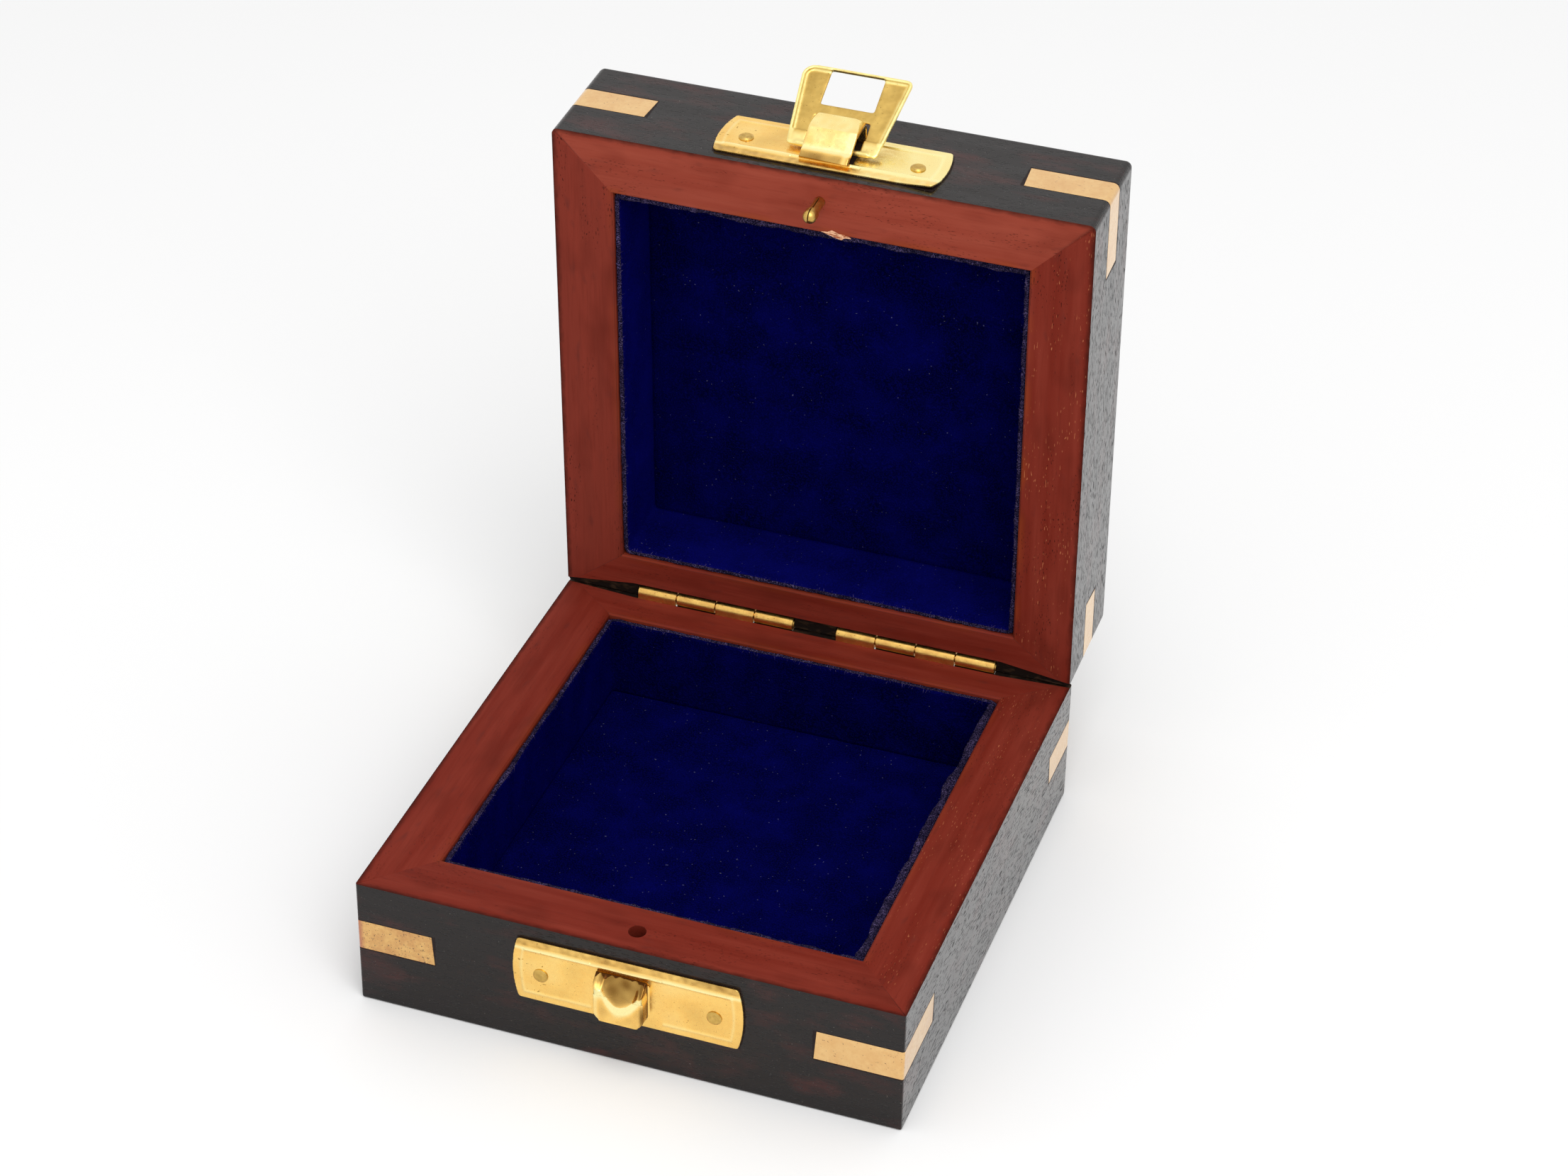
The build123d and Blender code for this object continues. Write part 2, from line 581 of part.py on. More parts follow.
def hasp_flap():
    """The flap: a plate dished inside its rim, with flat raised ends at the bar, its window, and its slot."""
    tip, heel = FLAP_LENGTH, -FLAP_HEEL
    floor, land = FLAP_SHEET - FLAP_BACK, FLAP_FLANGE - FLAP_BACK - FLAP_SHEET
    outline = make_face(Polyline((-FLAP_HEEL_HALF_WIDTH, heel), (FLAP_HEEL_HALF_WIDTH, heel),
                                 (FLAP_TIP_HALF_WIDTH, tip), (-FLAP_TIP_HALF_WIDTH, tip), close=True))
    for end, radius in zip((0, -1), FLAP_TIP_CORNERS):
        outline = fillet(outline.vertices().sort_by(Axis.Y)[-2:].sort_by(Axis.X)[end], radius)
    outline = fillet(outline.vertices().sort_by(Axis.Y)[:2], FLAP_HEEL_CORNER)
    dish = extrude(Pos(0, 0, -FLAP_BACK) * outline, FLAP_FLANGE)
    dish = fillet(dish.faces().sort_by(Axis.Z)[0].edges(), FLAP_FOLD)
    sunk = extrude(Pos(0, 0, floor) * offset(outline, -FLAP_RIM), FLAP_FLANGE)
    dish = dish - (sunk & block(-WIDTH, WIDTH, LAND_END, WIDTH, -WIDTH, WIDTH))
    dish = dish - block(-WIDTH, WIDTH, heel - PAST, LAND_END - FLAP_SHEET, -FLAP_BACK - PAST, land)
    dish = dish - block(-WINDOW_HALF_WIDTH, WINDOW_HALF_WIDTH, WINDOW_START, tip - FLAP_SHEET,
                        -FLAP_BACK - PAST, FLAP_FLANGE)
    dish = dish - block(-SLOT_HALF_WIDTH, SLOT_HALF_WIDTH, heel - PAST, SLOT_END,
                        -FLAP_BACK - PAST, FLAP_FLANGE)
    bar = Plane.YZ * Cylinder(BAR_RADIUS, SLOT_HALF_WIDTH + FLAP_HEEL_HALF_WIDTH)
    lean = radians(FLAP_LEAN)
    away = (0, -cos(lean), -sin(lean))
    seat = Plane((FLAP_CENTRE_X, FRONT - BAR_PROUD, BAR_Z), x_dir=(1, 0, 0), z_dir=away)
    return seat * (dish + bar)


# Locating pin


def locating_seat():
    """The hole that holds the locating pin in the lid's rim, on the closed lid."""
    depth = LOCATING_SUNK + SEAT_PLAY
    return Pos(LOCATING_X, FRONT + LOCATING_INSET, LID_RIM + depth / 2) * Cylinder(
        LOCATING_RADIUS + SEAT_PLAY, depth)


def locating_pin():
    """The split pin in the lid's front rim, hanging down as on the closed lid."""
    y = FRONT + LOCATING_INSET
    tip_z = LID_RIM - LOCATING_PROUD
    length = LOCATING_PROUD + LOCATING_SUNK - LOCATING_TIP_RADIUS
    shank = Pos(LOCATING_X, y, LID_RIM + LOCATING_SUNK - length / 2) * Cylinder(LOCATING_RADIUS, length)
    bulb = Pos(LOCATING_X, y, tip_z + LOCATING_TIP_RADIUS) * Sphere(LOCATING_TIP_RADIUS)
    sleeve_low = tip_z + LOCATING_TIP_RADIUS
    sleeve = Pos(LOCATING_X, y, sleeve_low + (LOCATING_TIP - LOCATING_TIP_RADIUS) / 2)
    sleeve = sleeve * Cylinder(LOCATING_TIP_RADIUS, LOCATING_TIP - LOCATING_TIP_RADIUS)
    split = block(LOCATING_X - LOCATING_SPLIT / 2, LOCATING_X + LOCATING_SPLIT / 2, y - WALL, y + WALL,
                  tip_z - PAST, LID_RIM - PAST / 2)
    return shank + bulb + sleeve - split


def locating_hole():
    """The hole in the base's front rim that takes the pin."""
    depth = LOCATING_PROUD + LOCATING_FLOOR_PLAY
    return Pos(LOCATING_X, FRONT + LOCATING_INSET, BASE_HEIGHT - depth / 2 + PAST / 2) * Cylinder(
        LOCATING_TIP_RADIUS + LOCATING_PLAY, depth + PAST)


# The whole box


def as_tray(shape):
    """Turns a piece of the closed lid over, to cut its seat in the lid's tray."""
    return mirror(Pos(0, 0, -LID_RIM - LID_HEIGHT) * shape, about=Plane.XY)


def over_axis(shape):
    """Turns a piece of the base's hinge over the axis, to where its twin lies in the closed lid."""
    return mirror(shape, about=Plane.XY.offset(AXIS_Z))


def all_nails(play=0.0):
    """The nails of both base leaves, or with play their seats."""
    return [nail for centre in HINGE_CENTRES.values() for nail in leaf_nails(centre, play)]


def build():
    """Every piece by name, where it stands on the open box."""
    parts = {}
    catch_place = (CATCH_CENTRE_X, CATCH_FOOT + CATCH_PIN_FOOT)
    hasp_place = (HASP_CENTRE_X, LID_RIM + HASP_PIN_FOOT)
    catch_seats, hasp_seats = plate_pins(*catch_place, SEAT_PLAY), plate_pins(*hasp_place, SEAT_PLAY)
    base_nail_seats = all_nails(SEAT_PLAY)
    up_to_lid_leaf = Pos(0, 0, 2 * (LEAF_DROP - NAIL_LINE))
    lid_nail_seats = [up_to_lid_leaf * seat for seat in base_nail_seats]
    to_lid_tray = Pos(0, 0, LID.height + LID.axis_over_rim - BASE.height - BASE.axis_over_rim)
    seats = {BASE.name: catch_seats + base_nail_seats + [locating_hole()],
             LID.name: [as_tray(seat) for seat in hasp_seats + [locating_seat()]]
             + [to_lid_tray * seat for seat in base_nail_seats]}
    for half in (BASE, LID):
        strips = inlays(half)
        for side, board in boards(half, seats[half.name] + list(strips.values())).items():
            parts[f"{half.name}_{side}_board"] = set_in_place(half, board)
        parts[f"{half.name}_{'bottom' if half is BASE else 'top'}_panel"] = set_in_place(half, panel(half))
        parts[f"{half.name}_lining_floor"] = set_in_place(half, lining_floor(half))
        parts[f"{half.name}_lining_walls"] = set_in_place(half, lining_walls(half))
        for corner, strip in strips.items():
            parts[f"{half.name}_{corner}_inlay"] = set_in_place(half, strip)
    parts["catch_plate"] = pierce(catch_plate(), catch_seats)
    parts["catch_plate_pins"] = together(plate_pins(*catch_place))
    parts["hasp_plate"] = opened(pierce(hasp_plate(), hasp_seats))
    parts["hasp_plate_pins"] = together([opened(pin) for pin in plate_pins(*hasp_place)])
    parts["locating_pin"] = opened(locating_pin())
    for side, centre in HINGE_CENTRES.items():
        parts[f"{side}_hinge_base_leaf"] = pierce(rolled_leaf(centre, 0), base_nail_seats)
        parts[f"{side}_hinge_lid_leaf"] = opened(pierce(over_axis(rolled_leaf(centre, 1)), lid_nail_seats))
        parts[f"{side}_hinge_pin"] = hinge_pin(centre)
    parts["base_leaf_nails"] = together(all_nails())
    parts["lid_leaf_nails"] = together([opened(up_to_lid_leaf * nail) for nail in all_nails()])
    parts["hasp_flap"] = opened(hasp_flap())
    return parts


def together(pieces):
    """Puts separate solids of one kind into one node."""
    return Compound([solid for piece in pieces for solid in piece.solids()])


def pierce(shape, tools):
    """Cuts the seats of pins or nails out of a sheet."""
    for tool in tools:
        shape = shape - tool
    return shape


if __name__ == "__main__":
    for name, piece in build().items():
        export_step(piece, f"parts/{name}.step")
    print(f"lid opens {STAND_ANGLE:.1f} degrees, hasp swings {FLAP_TRAVEL:.1f} degrees")
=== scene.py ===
"""Looks of a small hardwood box for a pocket compass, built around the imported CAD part.

The box stands open. Its boards are stained and lacquered, its wells are lined with blue velvet, and its
inlays, plates, flap and hinges are brass. Every length written here is in millimetres, and MM turns it
into metres where a mesh or a node needs it.
"""

import json
import logging
import math
from dataclasses import dataclass, field
from enum import Enum
from typing import Callable, Sequence

import bmesh
import bpy
from mathutils import Matrix, Vector, noise


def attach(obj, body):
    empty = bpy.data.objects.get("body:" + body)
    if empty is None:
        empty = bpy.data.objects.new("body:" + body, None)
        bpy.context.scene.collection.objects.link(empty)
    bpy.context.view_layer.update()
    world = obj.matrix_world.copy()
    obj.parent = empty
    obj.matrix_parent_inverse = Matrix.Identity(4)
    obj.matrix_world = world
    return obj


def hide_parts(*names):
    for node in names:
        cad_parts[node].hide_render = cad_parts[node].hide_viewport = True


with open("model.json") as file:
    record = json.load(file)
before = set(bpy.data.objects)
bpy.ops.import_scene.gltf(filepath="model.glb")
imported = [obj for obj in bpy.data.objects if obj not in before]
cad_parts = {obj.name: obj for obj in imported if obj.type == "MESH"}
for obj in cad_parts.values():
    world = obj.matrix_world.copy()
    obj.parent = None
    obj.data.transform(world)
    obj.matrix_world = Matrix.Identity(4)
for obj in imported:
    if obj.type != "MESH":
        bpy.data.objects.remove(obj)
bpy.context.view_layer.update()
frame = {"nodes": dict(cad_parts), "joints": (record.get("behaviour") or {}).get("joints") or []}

log = logging.getLogger("compass_box")

MM = 0.001
PER_MM = 1000.0

# How far a pattern's seed shifts it along the three axes
SEED_SPREAD = (1.0, 0.7, 1.3)
# A distance that no place on the box is past
FAR_OFF = 9.0
# The mixing node's colour sockets have the same names as its other ones, so they go by place
MIX_FACTOR, MIX_UNDER, MIX_OVER, MIX_RESULT = 0, 6, 7, 2

# The closed box: outer faces at half the width, the base's rim, the lid's rim and top, and the lid's hinge
HALF = 57.0
BASE_RIM = 29.1
LID_RIM = 29.2
LID_TOP = 56.5
WALL = 12.9
REAR_WALL = 10.4

# The lid's hinge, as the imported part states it
LID_HINGE = next(joint for joint in frame["joints"] if joint["name"] == "lid_hinge")
AXIS = Vector(LID_HINGE["pos_m"]) * PER_MM
STAND = math.radians(LID_HINGE["range_deg"][1])

# Corners this close are one corner, faces within this angle lie in one plane, and edges past this are sharp
SAME_PLACE = 0.002
SAME_PLANE = math.radians(0.5)
SHARP_FROM = math.radians(35)

Colour = tuple[float, float, float, float]
Socket = bpy.types.NodeSocket
Pressing = Callable[[Vector], tuple[Vector, float]]


def linear(code: str) -> Colour:
    """Turns a screen colour into the linear one that Blender works in.

    Args:
        code: Six hexadecimal digits after a hash.

    Returns:
        Red, green, blue and a full alpha.
    """
    parts = [int(code[i:i + 2], 16) / 255 for i in (1, 3, 5)]
    red, green, blue = (p / 12.92 if p <= 0.04045 else ((p + 0.055) / 1.055) ** 2.4 for p in parts)
    return red, green, blue, 1.0


def add_node(tree: bpy.types.NodeTree, kind: str, inputs: dict | None = None, **settings) -> bpy.types.Node:
    """Adds a node, sets it up and joins it to others.

    Args:
        tree: The tree that gets the node.
        kind: The node's type.
        inputs: Values, or output sockets to link from, by the input's name or place.
        settings: The node's own properties.

    Returns:
        The new node.
    """
    node = tree.nodes.new(kind)
    for name, value in settings.items():
        setattr(node, name, value)
    for key, value in (inputs or {}).items():
        if isinstance(value, Socket):
            tree.links.new(value, node.inputs[key])
        else:
            node.inputs[key].default_value = value
    return node


class Half(Enum):
    """The two halves of the box: the body each rides on."""

    BASE = "base"
    LID = "lid"

    def opening(self) -> Matrix:
        """The move from the closed box to the box as it stands, in metres."""
        if self is Half.BASE:
            return Matrix.Identity(4)
        axis = AXIS * MM
        return Matrix.Translation(axis) @ Matrix.Rotation(-STAND, 4, "X") @ Matrix.Translation(-axis)


class Grain(Enum):
    """Which way a board's fibres run, as the turn about the upright that lays them along a pattern."""

    ACROSS = 0.0
    FRONT_TO_BACK = -math.pi / 2


def soft_step(value: float, low: float, high: float) -> float:
    """Goes smoothly from 0 at the low value to 1 at the high one."""
    share = min(1.0, max(0.0, (value - low) / (high - low)))
    return share * share * (3 - 2 * share)


def hump(value: float, middle: float, width: float) -> float:
    """A smooth hump that is 1 at the middle and nearly 0 two widths away."""
    return math.exp(-((value - middle) / width) ** 2)


def clamped_painted_light(value: float, darkest: float = -1.0) -> float:
    """Keeps a painted light level between the darkest one and full brightness."""
    return max(darkest, min(1.0, value))


def swell(spot: Vector, size: float) -> float:
    """A smooth irregular number from about -1 to 1, with swells of a size in millimetres."""
    return noise.noise(spot / size)


def proud_of(spot: Vector) -> float:
    """How far a place stands out from the closed box's front."""
    return -spot.y - HALF


@dataclass(frozen=True)
class Pattern:
    """Soft patches: a patch's size along the three axes, and the noise levels where it begins and is full."""

    size: tuple[float, float, float]
    low: float
    high: float
    detail: float = 2.0
    seed: float = 0.0


@dataclass(frozen=True)
class Layer:
    """A colour in patches: how much of it is laid, what the patches gather in, and how high they stand."""

    code: str
    pattern: Pattern
    share: float = 1.0
    groups: Pattern | None = None
    rise: float = 0.0


@dataclass(frozen=True)
class PlateShape:
    """The outline of a stamped plate on the closed box's front, and the height of its bead."""

    middle: tuple[float, float]
    half_size: tuple[float, float]
    bead: float
    bulge: float = 1.1


CATCH_SHAPE = PlateShape((0.55, 18.55), (22.95, 7.45), 23.8)
HASP_SHAPE = PlateShape((-0.15, 38.45), (22.95, 7.05), 34.0)


class Recipe:
    """A material being made: its nodes, its colour and relief so far, and places on the closed box."""

    def __init__(self, name: str, ground: str, half: Half = Half.BASE, grain: Grain = Grain.ACROSS) -> None:
        """Starts a material.

        Args:
            name: The material's name.
            ground: The colour that the others are laid on.
            half: The half that it lies on. The lid's places are taken as on the closed box.
            grain: Which way its patterns run.
        """
        self.material = bpy.data.materials.new(name)
        self.material.use_nodes = True
        self.tree = self.material.node_tree
        self.colour: Colour | Socket = linear(ground)
        self.normal: Socket | None = None
        spot = add_node(self.tree, "ShaderNodeTexCoord").outputs["Object"]
        closing = half.opening().inverted()
        self.box_place = add_node(self.tree, "ShaderNodeMapping", {
            "Vector": spot, "Scale": (PER_MM,) * 3, "Rotation": tuple(closing.to_euler()),
            "Location": tuple(closing.translation * PER_MM)}).outputs[0]
        self.place = add_node(self.tree, "ShaderNodeMapping", {
            "Vector": self.box_place, "Rotation": (0.0, 0.0, grain.value)}).outputs[0]

    def patches(self, pattern: Pattern) -> Socket:
        """A pattern's patches, from 0 to 1."""
        stretched = add_node(self.tree, "ShaderNodeMapping", {
            "Vector": self.place, "Scale": tuple(1 / s for s in pattern.size),
            "Location": tuple(pattern.seed * share for share in SEED_SPREAD)})
        cloud = add_node(self.tree, "ShaderNodeTexNoise", {
            "Vector": stretched.outputs[0], "Scale": 1.0, "Detail": pattern.detail, "Roughness": 0.55})
        return self.between(cloud.outputs[0], pattern.low, pattern.high)

    def between(self, value: Socket, low: float, high: float) -> Socket:
        """Goes from 0 at the low value to 1 at the high one."""
        limits = {"Value": value, "From Min": low, "From Max": high}
        return add_node(self.tree, "ShaderNodeMapRange", limits).outputs[0]

    def blended(self, mask: Socket, low: float, high: float) -> Socket:
        """A number that goes from low to high with a mask."""
        limits = {"Value": mask, "To Min": low, "To Max": high}
        return add_node(self.tree, "ShaderNodeMapRange", limits).outputs[0]

    def worked(self, operation: str, *values: Socket | float) -> Socket:
        """Works something out with a Math node."""
        return add_node(self.tree, "ShaderNodeMath", dict(enumerate(values)), operation=operation).outputs[0]

    def both(self, first: Socket, second: Socket | float) -> Socket:
        """Two masks multiplied, so that only what lies in both is left."""
        return self.worked("MULTIPLY", first, second)

    def mark(self, name: str) -> Socket:
        """What a piece's own attribute says, which is 0 where it has none."""
        return add_node(self.tree, "ShaderNodeAttribute", attribute_name=name).outputs["Fac"]

    def parts(self) -> tuple[Socket, ...]:
        """The three coordinates of a place on the closed box."""
        return tuple(add_node(self.tree, "ShaderNodeSeparateXYZ", {0: self.box_place}).outputs)

    def off_box(self, low: Sequence[float], high: Sequence[float]) -> Socket:
        """How far a place lies outside an upright block of the closed box, in millimetres.

        Args:
            low: The block's lowest corner. Without a height the block has no bottom and no top.
            high: Its highest corner.

        Returns:
            The socket that carries the distance, which is below nought inside.
        """
        distance = None
        for place, least, most in zip(self.parts(), low, high):
            middle = self.worked("ABSOLUTE", self.worked("SUBTRACT", place, (least + most) / 2))
            over = self.worked("SUBTRACT", middle, (most - least) / 2)
            distance = over if distance is None else self.worked("MAXIMUM", distance, over)
        return distance

    def off_plate(self, plate: PlateShape) -> Socket:
        """How far a place on the front lies outside a plate with bowed ends, in millimetres.

        Args:
            plate: The plate's outline.

        Returns:
            The socket that carries the distance, which is below nought on the plate.
        """
        x, _, z = self.parts()
        level = self.worked("ABSOLUTE", self.worked("SUBTRACT", z, plate.middle[1]))
        share = self.worked("POWER", self.worked("DIVIDE", level, plate.half_size[1]), 2.0)
        end = self.worked("SUBTRACT", plate.half_size[0] + plate.bulge, self.both(share, plate.bulge))
        side = self.worked("ABSOLUTE", self.worked("SUBTRACT", x, plate.middle[0]))
        over = self.worked("SUBTRACT", level, plate.half_size[1])
        return self.worked("MAXIMUM", self.worked("SUBTRACT", side, end), over)

    def ragged(self, distance: Socket, pattern: Pattern, depth: float) -> Socket:
        """A distance made uneven by a pattern, by up to a depth in millimetres."""
        return self.worked("ADD", distance, self.both(self.patches(pattern), depth))

    def lay_all(self, layers: Sequence[Layer]) -> list[Socket]:
        """Lays layers one over the other, and gives the mask of each."""
        masks = []
        for layer in layers:
            mask = self.patches(layer.pattern)
            if layer.groups is not None:
                mask = self.both(mask, self.patches(layer.groups))
            self.lay(layer.code, mask, layer.share)
            if layer.rise:
                self.lift(mask, layer.rise)
            masks.append(mask)
        return masks

    def lay(self, code: str, mask: Socket, share: float = 1.0) -> None:
        """Lays a share of a colour over what is there, where a mask says so."""
        factor = mask if share == 1.0 else self.both(mask, share)
        mix = add_node(self.tree, "ShaderNodeMix", {
            MIX_FACTOR: factor, MIX_UNDER: self.colour, MIX_OVER: linear(code)}, data_type="RGBA")
        self.colour = mix.outputs[MIX_RESULT]

    def lift(self, mask: Socket, height: float) -> None:
        """Raises the surface by a height in millimetres where a mask says so, or sinks it below nought."""
        inputs = {"Height": mask, "Distance": height * MM, "Strength": 1.0}
        if self.normal is not None:
            inputs["Normal"] = self.normal
        self.normal = add_node(self.tree, "ShaderNodeBump", inputs).outputs[0]

    def done(self, **values: object) -> bpy.types.Material:
        """Sets or links the shader's sockets, named with underscores, and hands the material over."""
        values["base_color"] = self.colour
        if self.normal is not None:
            values["normal"] = self.normal
        shader = self.tree.nodes["Principled BSDF"]
        for name, value in values.items():
            socket = shader.inputs[name.replace("_", " ").title().replace("Ior", "IOR")]
            if isinstance(value, Socket):
                self.tree.links.new(value, socket)
            else:
                socket.default_value = value
        return self.material


@dataclass(frozen=True)
class Finish:
    """A surface finish. Each kind says how its material is made."""

    name: str
    half: Half = Half.BASE
    grain: Grain = Grain.ACROSS

    def material(self) -> bpy.types.Material:
        """The finish as a material, made the first time it is asked for."""
        return bpy.data.materials.get(self.name) or self.make()

    def make(self) -> bpy.types.Material:
        """Makes the material."""
        raise NotImplementedError(self.name)


@dataclass(frozen=True)
class RimWood(Finish):
    """Red-brown hardwood, sanded and oiled: warm and nearly matt, darker where the outer edge is rubbed."""

    plain: str = "#75261a"
    pale: str = "#843326"
    dark: str = "#591b11"
    smoke: str = "#4f2522"
    fleck: str = "#d98a5c"
    pit: str = "#260b06"
    by_velvet: str = "#8f3d16"
    flecks: float = 0.0
    pits: float = 0.4
    glow: float = 0.2

    def make(self) -> bpy.types.Material:
        """Makes the material."""
        recipe = Recipe(self.name, self.plain, self.half, self.grain)
        recipe.lay_all((
            Layer(self.pale, Pattern((40, 3, 3), 0.36, 0.7)),
            Layer(self.dark, Pattern((18, 8, 8), 0.5, 0.78, seed=7), 0.7),
            Layer(self.dark, Pattern((9, 0.5, 0.5), 0.5, 0.75, seed=3), 0.22, rise=-0.01),
            Layer(self.smoke, Pattern((9, 3, 3), 0.62, 0.8, seed=41), 0.5)))
        off_well = recipe.off_box((WALL - HALF, WALL - HALF), (HALF - WALL, HALF - REAR_WALL))
        uneven = recipe.patches(Pattern((9, 9, 9), 0.42, 0.6, 1))
        recipe.lay(self.by_velvet, recipe.both(recipe.between(off_well, 1.8, 0.3), uneven), self.glow)
        recipe.lay_all((
            Layer(self.fleck, Pattern((1.2, 0.2, 0.2), 0.745, 0.785, 0, 19), self.flecks,
                  Pattern((14, 4, 4), 0.5, 0.58, 1, 11)),
            Layer(self.pit, Pattern((0.8, 0.2, 0.2), 0.73, 0.78, 0, 31), self.pits,
                  Pattern((24, 3.5, 3.5), 0.52, 0.62, 1, 51), rise=-0.1)))
        off_edge = recipe.off_box((-HALF, -HALF), (HALF, 2 * HALF))
        rubbed = recipe.ragged(off_edge, Pattern((2.5, 1.2, 1.2), 0.3, 0.7, 3), 0.5)
        recipe.lay(self.pit, recipe.between(rubbed, -0.9, 0.35), 0.8)
        return recipe.done(roughness=0.6, specular_ior_level=0.06)


@dataclass(frozen=True)
class Lacquer(Finish):
    """Dark stained hardwood under gloss lacquer: nearly black, grey where it mirrors the room, open pores."""

    plain: str = "#150d0b"
    red: str = "#3f1713"
    pore: str = "#050303"
    dust: str = "#a39a92"
    dark_seam: str = "#160403"
    pores: float = 1.0
    gloss: float = 0.36
    inlays: tuple[tuple[Vector, Vector], ...] = ()
    plate: PlateShape | None = None

    def make(self) -> bpy.types.Material:
        """Makes the material."""
        recipe = Recipe(self.name, self.plain, self.half, self.grain)
        recipe.lay_all((Layer(self.red, Pattern((13, 5, 5), 0.5, 0.72, 3), 0.75),
                        Layer(self.pore, Pattern((16, 0.7, 0.7), 0.5, 0.7, seed=5), 0.3)))
        pores = recipe.both(recipe.patches(Pattern((1.5, 0.26, 0.26), 0.64, 0.69, 0, 17)), self.pores)
        recipe.lay(self.pore, pores)
        recipe.lay(self.dust, recipe.patches(Pattern((0.3, 0.3, 0.3), 0.84, 0.87, 0, 29)), 0.35)
        dark_seam = self.dark_outline(recipe)
        recipe.lay(self.dark_seam, dark_seam)
        recipe.lift(pores, -0.2)
        recipe.lift(recipe.patches(Pattern((18, 6, 6), 0.2, 0.8, 1, 2)), 0.1)
        rough = recipe.blended(recipe.worked("MAXIMUM", pores, dark_seam), 0.17, 0.7)
        return recipe.done(roughness=rough, specular_ior_level=self.gloss)

    def dark_outline(self, recipe: Recipe) -> Socket:
        """A dark line painted round each inlay and the plate."""
        distances = [recipe.off_box(low, high) for low, high in self.inlays]
        if self.plate is not None:
            distances.append(recipe.off_plate(self.plate))
        off_brass: Socket | float = FAR_OFF
        for distance in distances:
            off_brass = recipe.worked("MINIMUM", off_brass, distance)
        return recipe.between(recipe.ragged(off_brass, Pattern((1, 1, 1), 0.3, 0.7, seed=37), 0.25), 0.5, 0.3)


@dataclass(frozen=True)
class Brass(Finish):
    """Brass sheet or rod: its polish, the patches it has darkened in, and the specks and pits on it."""

    plain: str = "#f8cd74"
    aged: str = "#d39a45"
    speck: str = "#5a3413"
    # Colours of painted light: a painted highlight, painted shade, and the darker painted shade of a slit
    bright: str = "#ffeb96"
    shade: str = "#85602c"
    slit_shade: str = "#300a05"
    copper: str = "#b0664c"
    roughness: float = 0.24
    aged_size: float = 6.0
    aged_share: float = 0.5
    speck_size: float = 0.35
    speck_level: float = 0.7
    dimples: float = 0.03
    lacquered: bool = False
    copper_from: float | None = None

    def make(self) -> bpy.types.Material:
        """Makes the material. A piece's painted light draws it to the bright colour of a painted highlight or
        to the colour of painted shade, or to the darker painted shade of a slit; dark pits take the shaded
        colour too.
        """
        recipe = Recipe(self.name, self.plain)
        recipe.lift(recipe.patches(Pattern((2.2, 2.2, 2.2), 0.2, 0.8, 1, 21)), self.dimples)
        level = self.speck_level
        _, fine, _ = recipe.lay_all((
            Layer(self.aged, Pattern((self.aged_size,) * 3, 0.42, 0.72, 3), self.aged_share),
            Layer(self.aged, Pattern((0.9, 0.9, 0.9), 0.35, 0.75, seed=4), self.aged_share * 0.6),
            Layer(self.speck, Pattern((self.speck_size,) * 3, level, level + 0.06, 1, 13), 0.8, rise=-0.04)))
        if self.copper_from is not None:
            fold = recipe.between(recipe.parts()[0], self.copper_from, self.copper_from - 0.9)
            recipe.lay(self.copper, fold, 0.8)
        painted_light_and_pits = recipe.mark("painted_light_and_pits")
        for code, start, full in ((self.bright, 0, 1), (self.shade, 0, -1), (self.slit_shade, -1.05, -1.6)):
            recipe.lay(code, recipe.between(painted_light_and_pits, start, full))
        return recipe.done(metallic=1.0, coat_weight=float(self.lacquered), coat_roughness=0.15,
                           roughness=recipe.blended(fine, self.roughness, self.roughness + 0.14))


@dataclass(frozen=True)
class Mottled(Finish):
    """A surface of a plain colour under layers of others, with a sheen where it is cloth."""

    plain: str = "#ffffff"
    layers: tuple[Layer, ...] = ()
    roughness: float = 0.9
    gloss: float = 0.05
    sheen: float = 0.0
    glance: str = "#1416e0"

    def make(self) -> bpy.types.Material:
        """Makes the material."""
        recipe = Recipe(self.name, self.plain, self.half, self.grain)
        recipe.lay_all(self.layers)
        return recipe.done(roughness=self.roughness, specular_ior_level=self.gloss, sheen_weight=self.sheen,
                           sheen_roughness=0.4, sheen_tint=linear(self.glance))


def worn_edge(board: str, half: Half, grain: Grain) -> Mottled:
    """A board's eased edges, rubbed through the lacquer to the red wood in places and chipped in others."""
    return Mottled(f"hardwood_worn_edge_{board}", half, grain, "#1d0d0a", (
        Layer("#6f2f1e", Pattern((3.4, 1.6, 1.6), 0.6, 0.76)),
        Layer("#0d0504", Pattern((0.7, 0.4, 0.4), 0.66, 0.72, 1, 9))), roughness=0.5, gloss=0.3)


def velvet(name: str, deep: str, lit: str) -> Mottled:
    """Deep blue cotton velvet: its short pile lights up at a glancing view and drinks the light head on."""
    return Mottled(name, plain=deep, roughness=0.95, gloss=0.0, sheen=0.12, layers=(
        Layer(lit, Pattern((0.35, 0.35, 0.35), 0.42, 0.7, seed=5), 0.55, rise=0.12),
        Layer(lit, Pattern((9, 9, 9), 0.4, 0.72, 3), 0.4),
        Layer("#8f8fb4", Pattern((0.45, 0.45, 0.45), 0.845, 0.87, 0, 23), 0.3)))


def fibre(name: str, root: str, tip: str) -> Mottled:
    """Loose fibres that catch the light one by one, some in the colour of the root, some of the tip."""
    return Mottled(name, plain=root, gloss=0.03, layers=(Layer(tip, Pattern((0.8, 0.8, 0.8), 0.35, 0.7, 1)),))


# Painted shade in the recess behind the hinges: dark, with dull brown patches
TRENCH_SHADE = Mottled("wood_painted_shade_in_hinge_trench", plain="#110905", roughness=0.7, gloss=0.15, layers=(
    Layer("#39291a", Pattern((3, 1.5, 1.5), 0.5, 0.7), rise=0.1),))
# Painted shade for the narrow gap under the hinges: almost black, with a dull red in it
HINGE_GAP_SHADE = Mottled("painted_shade_in_hinge_gap", plain="#140504", roughness=0.55, gloss=0.2, layers=(
    Layer("#3a100a", Pattern((1.6, 1.6, 1.6), 0.45, 0.7)),))
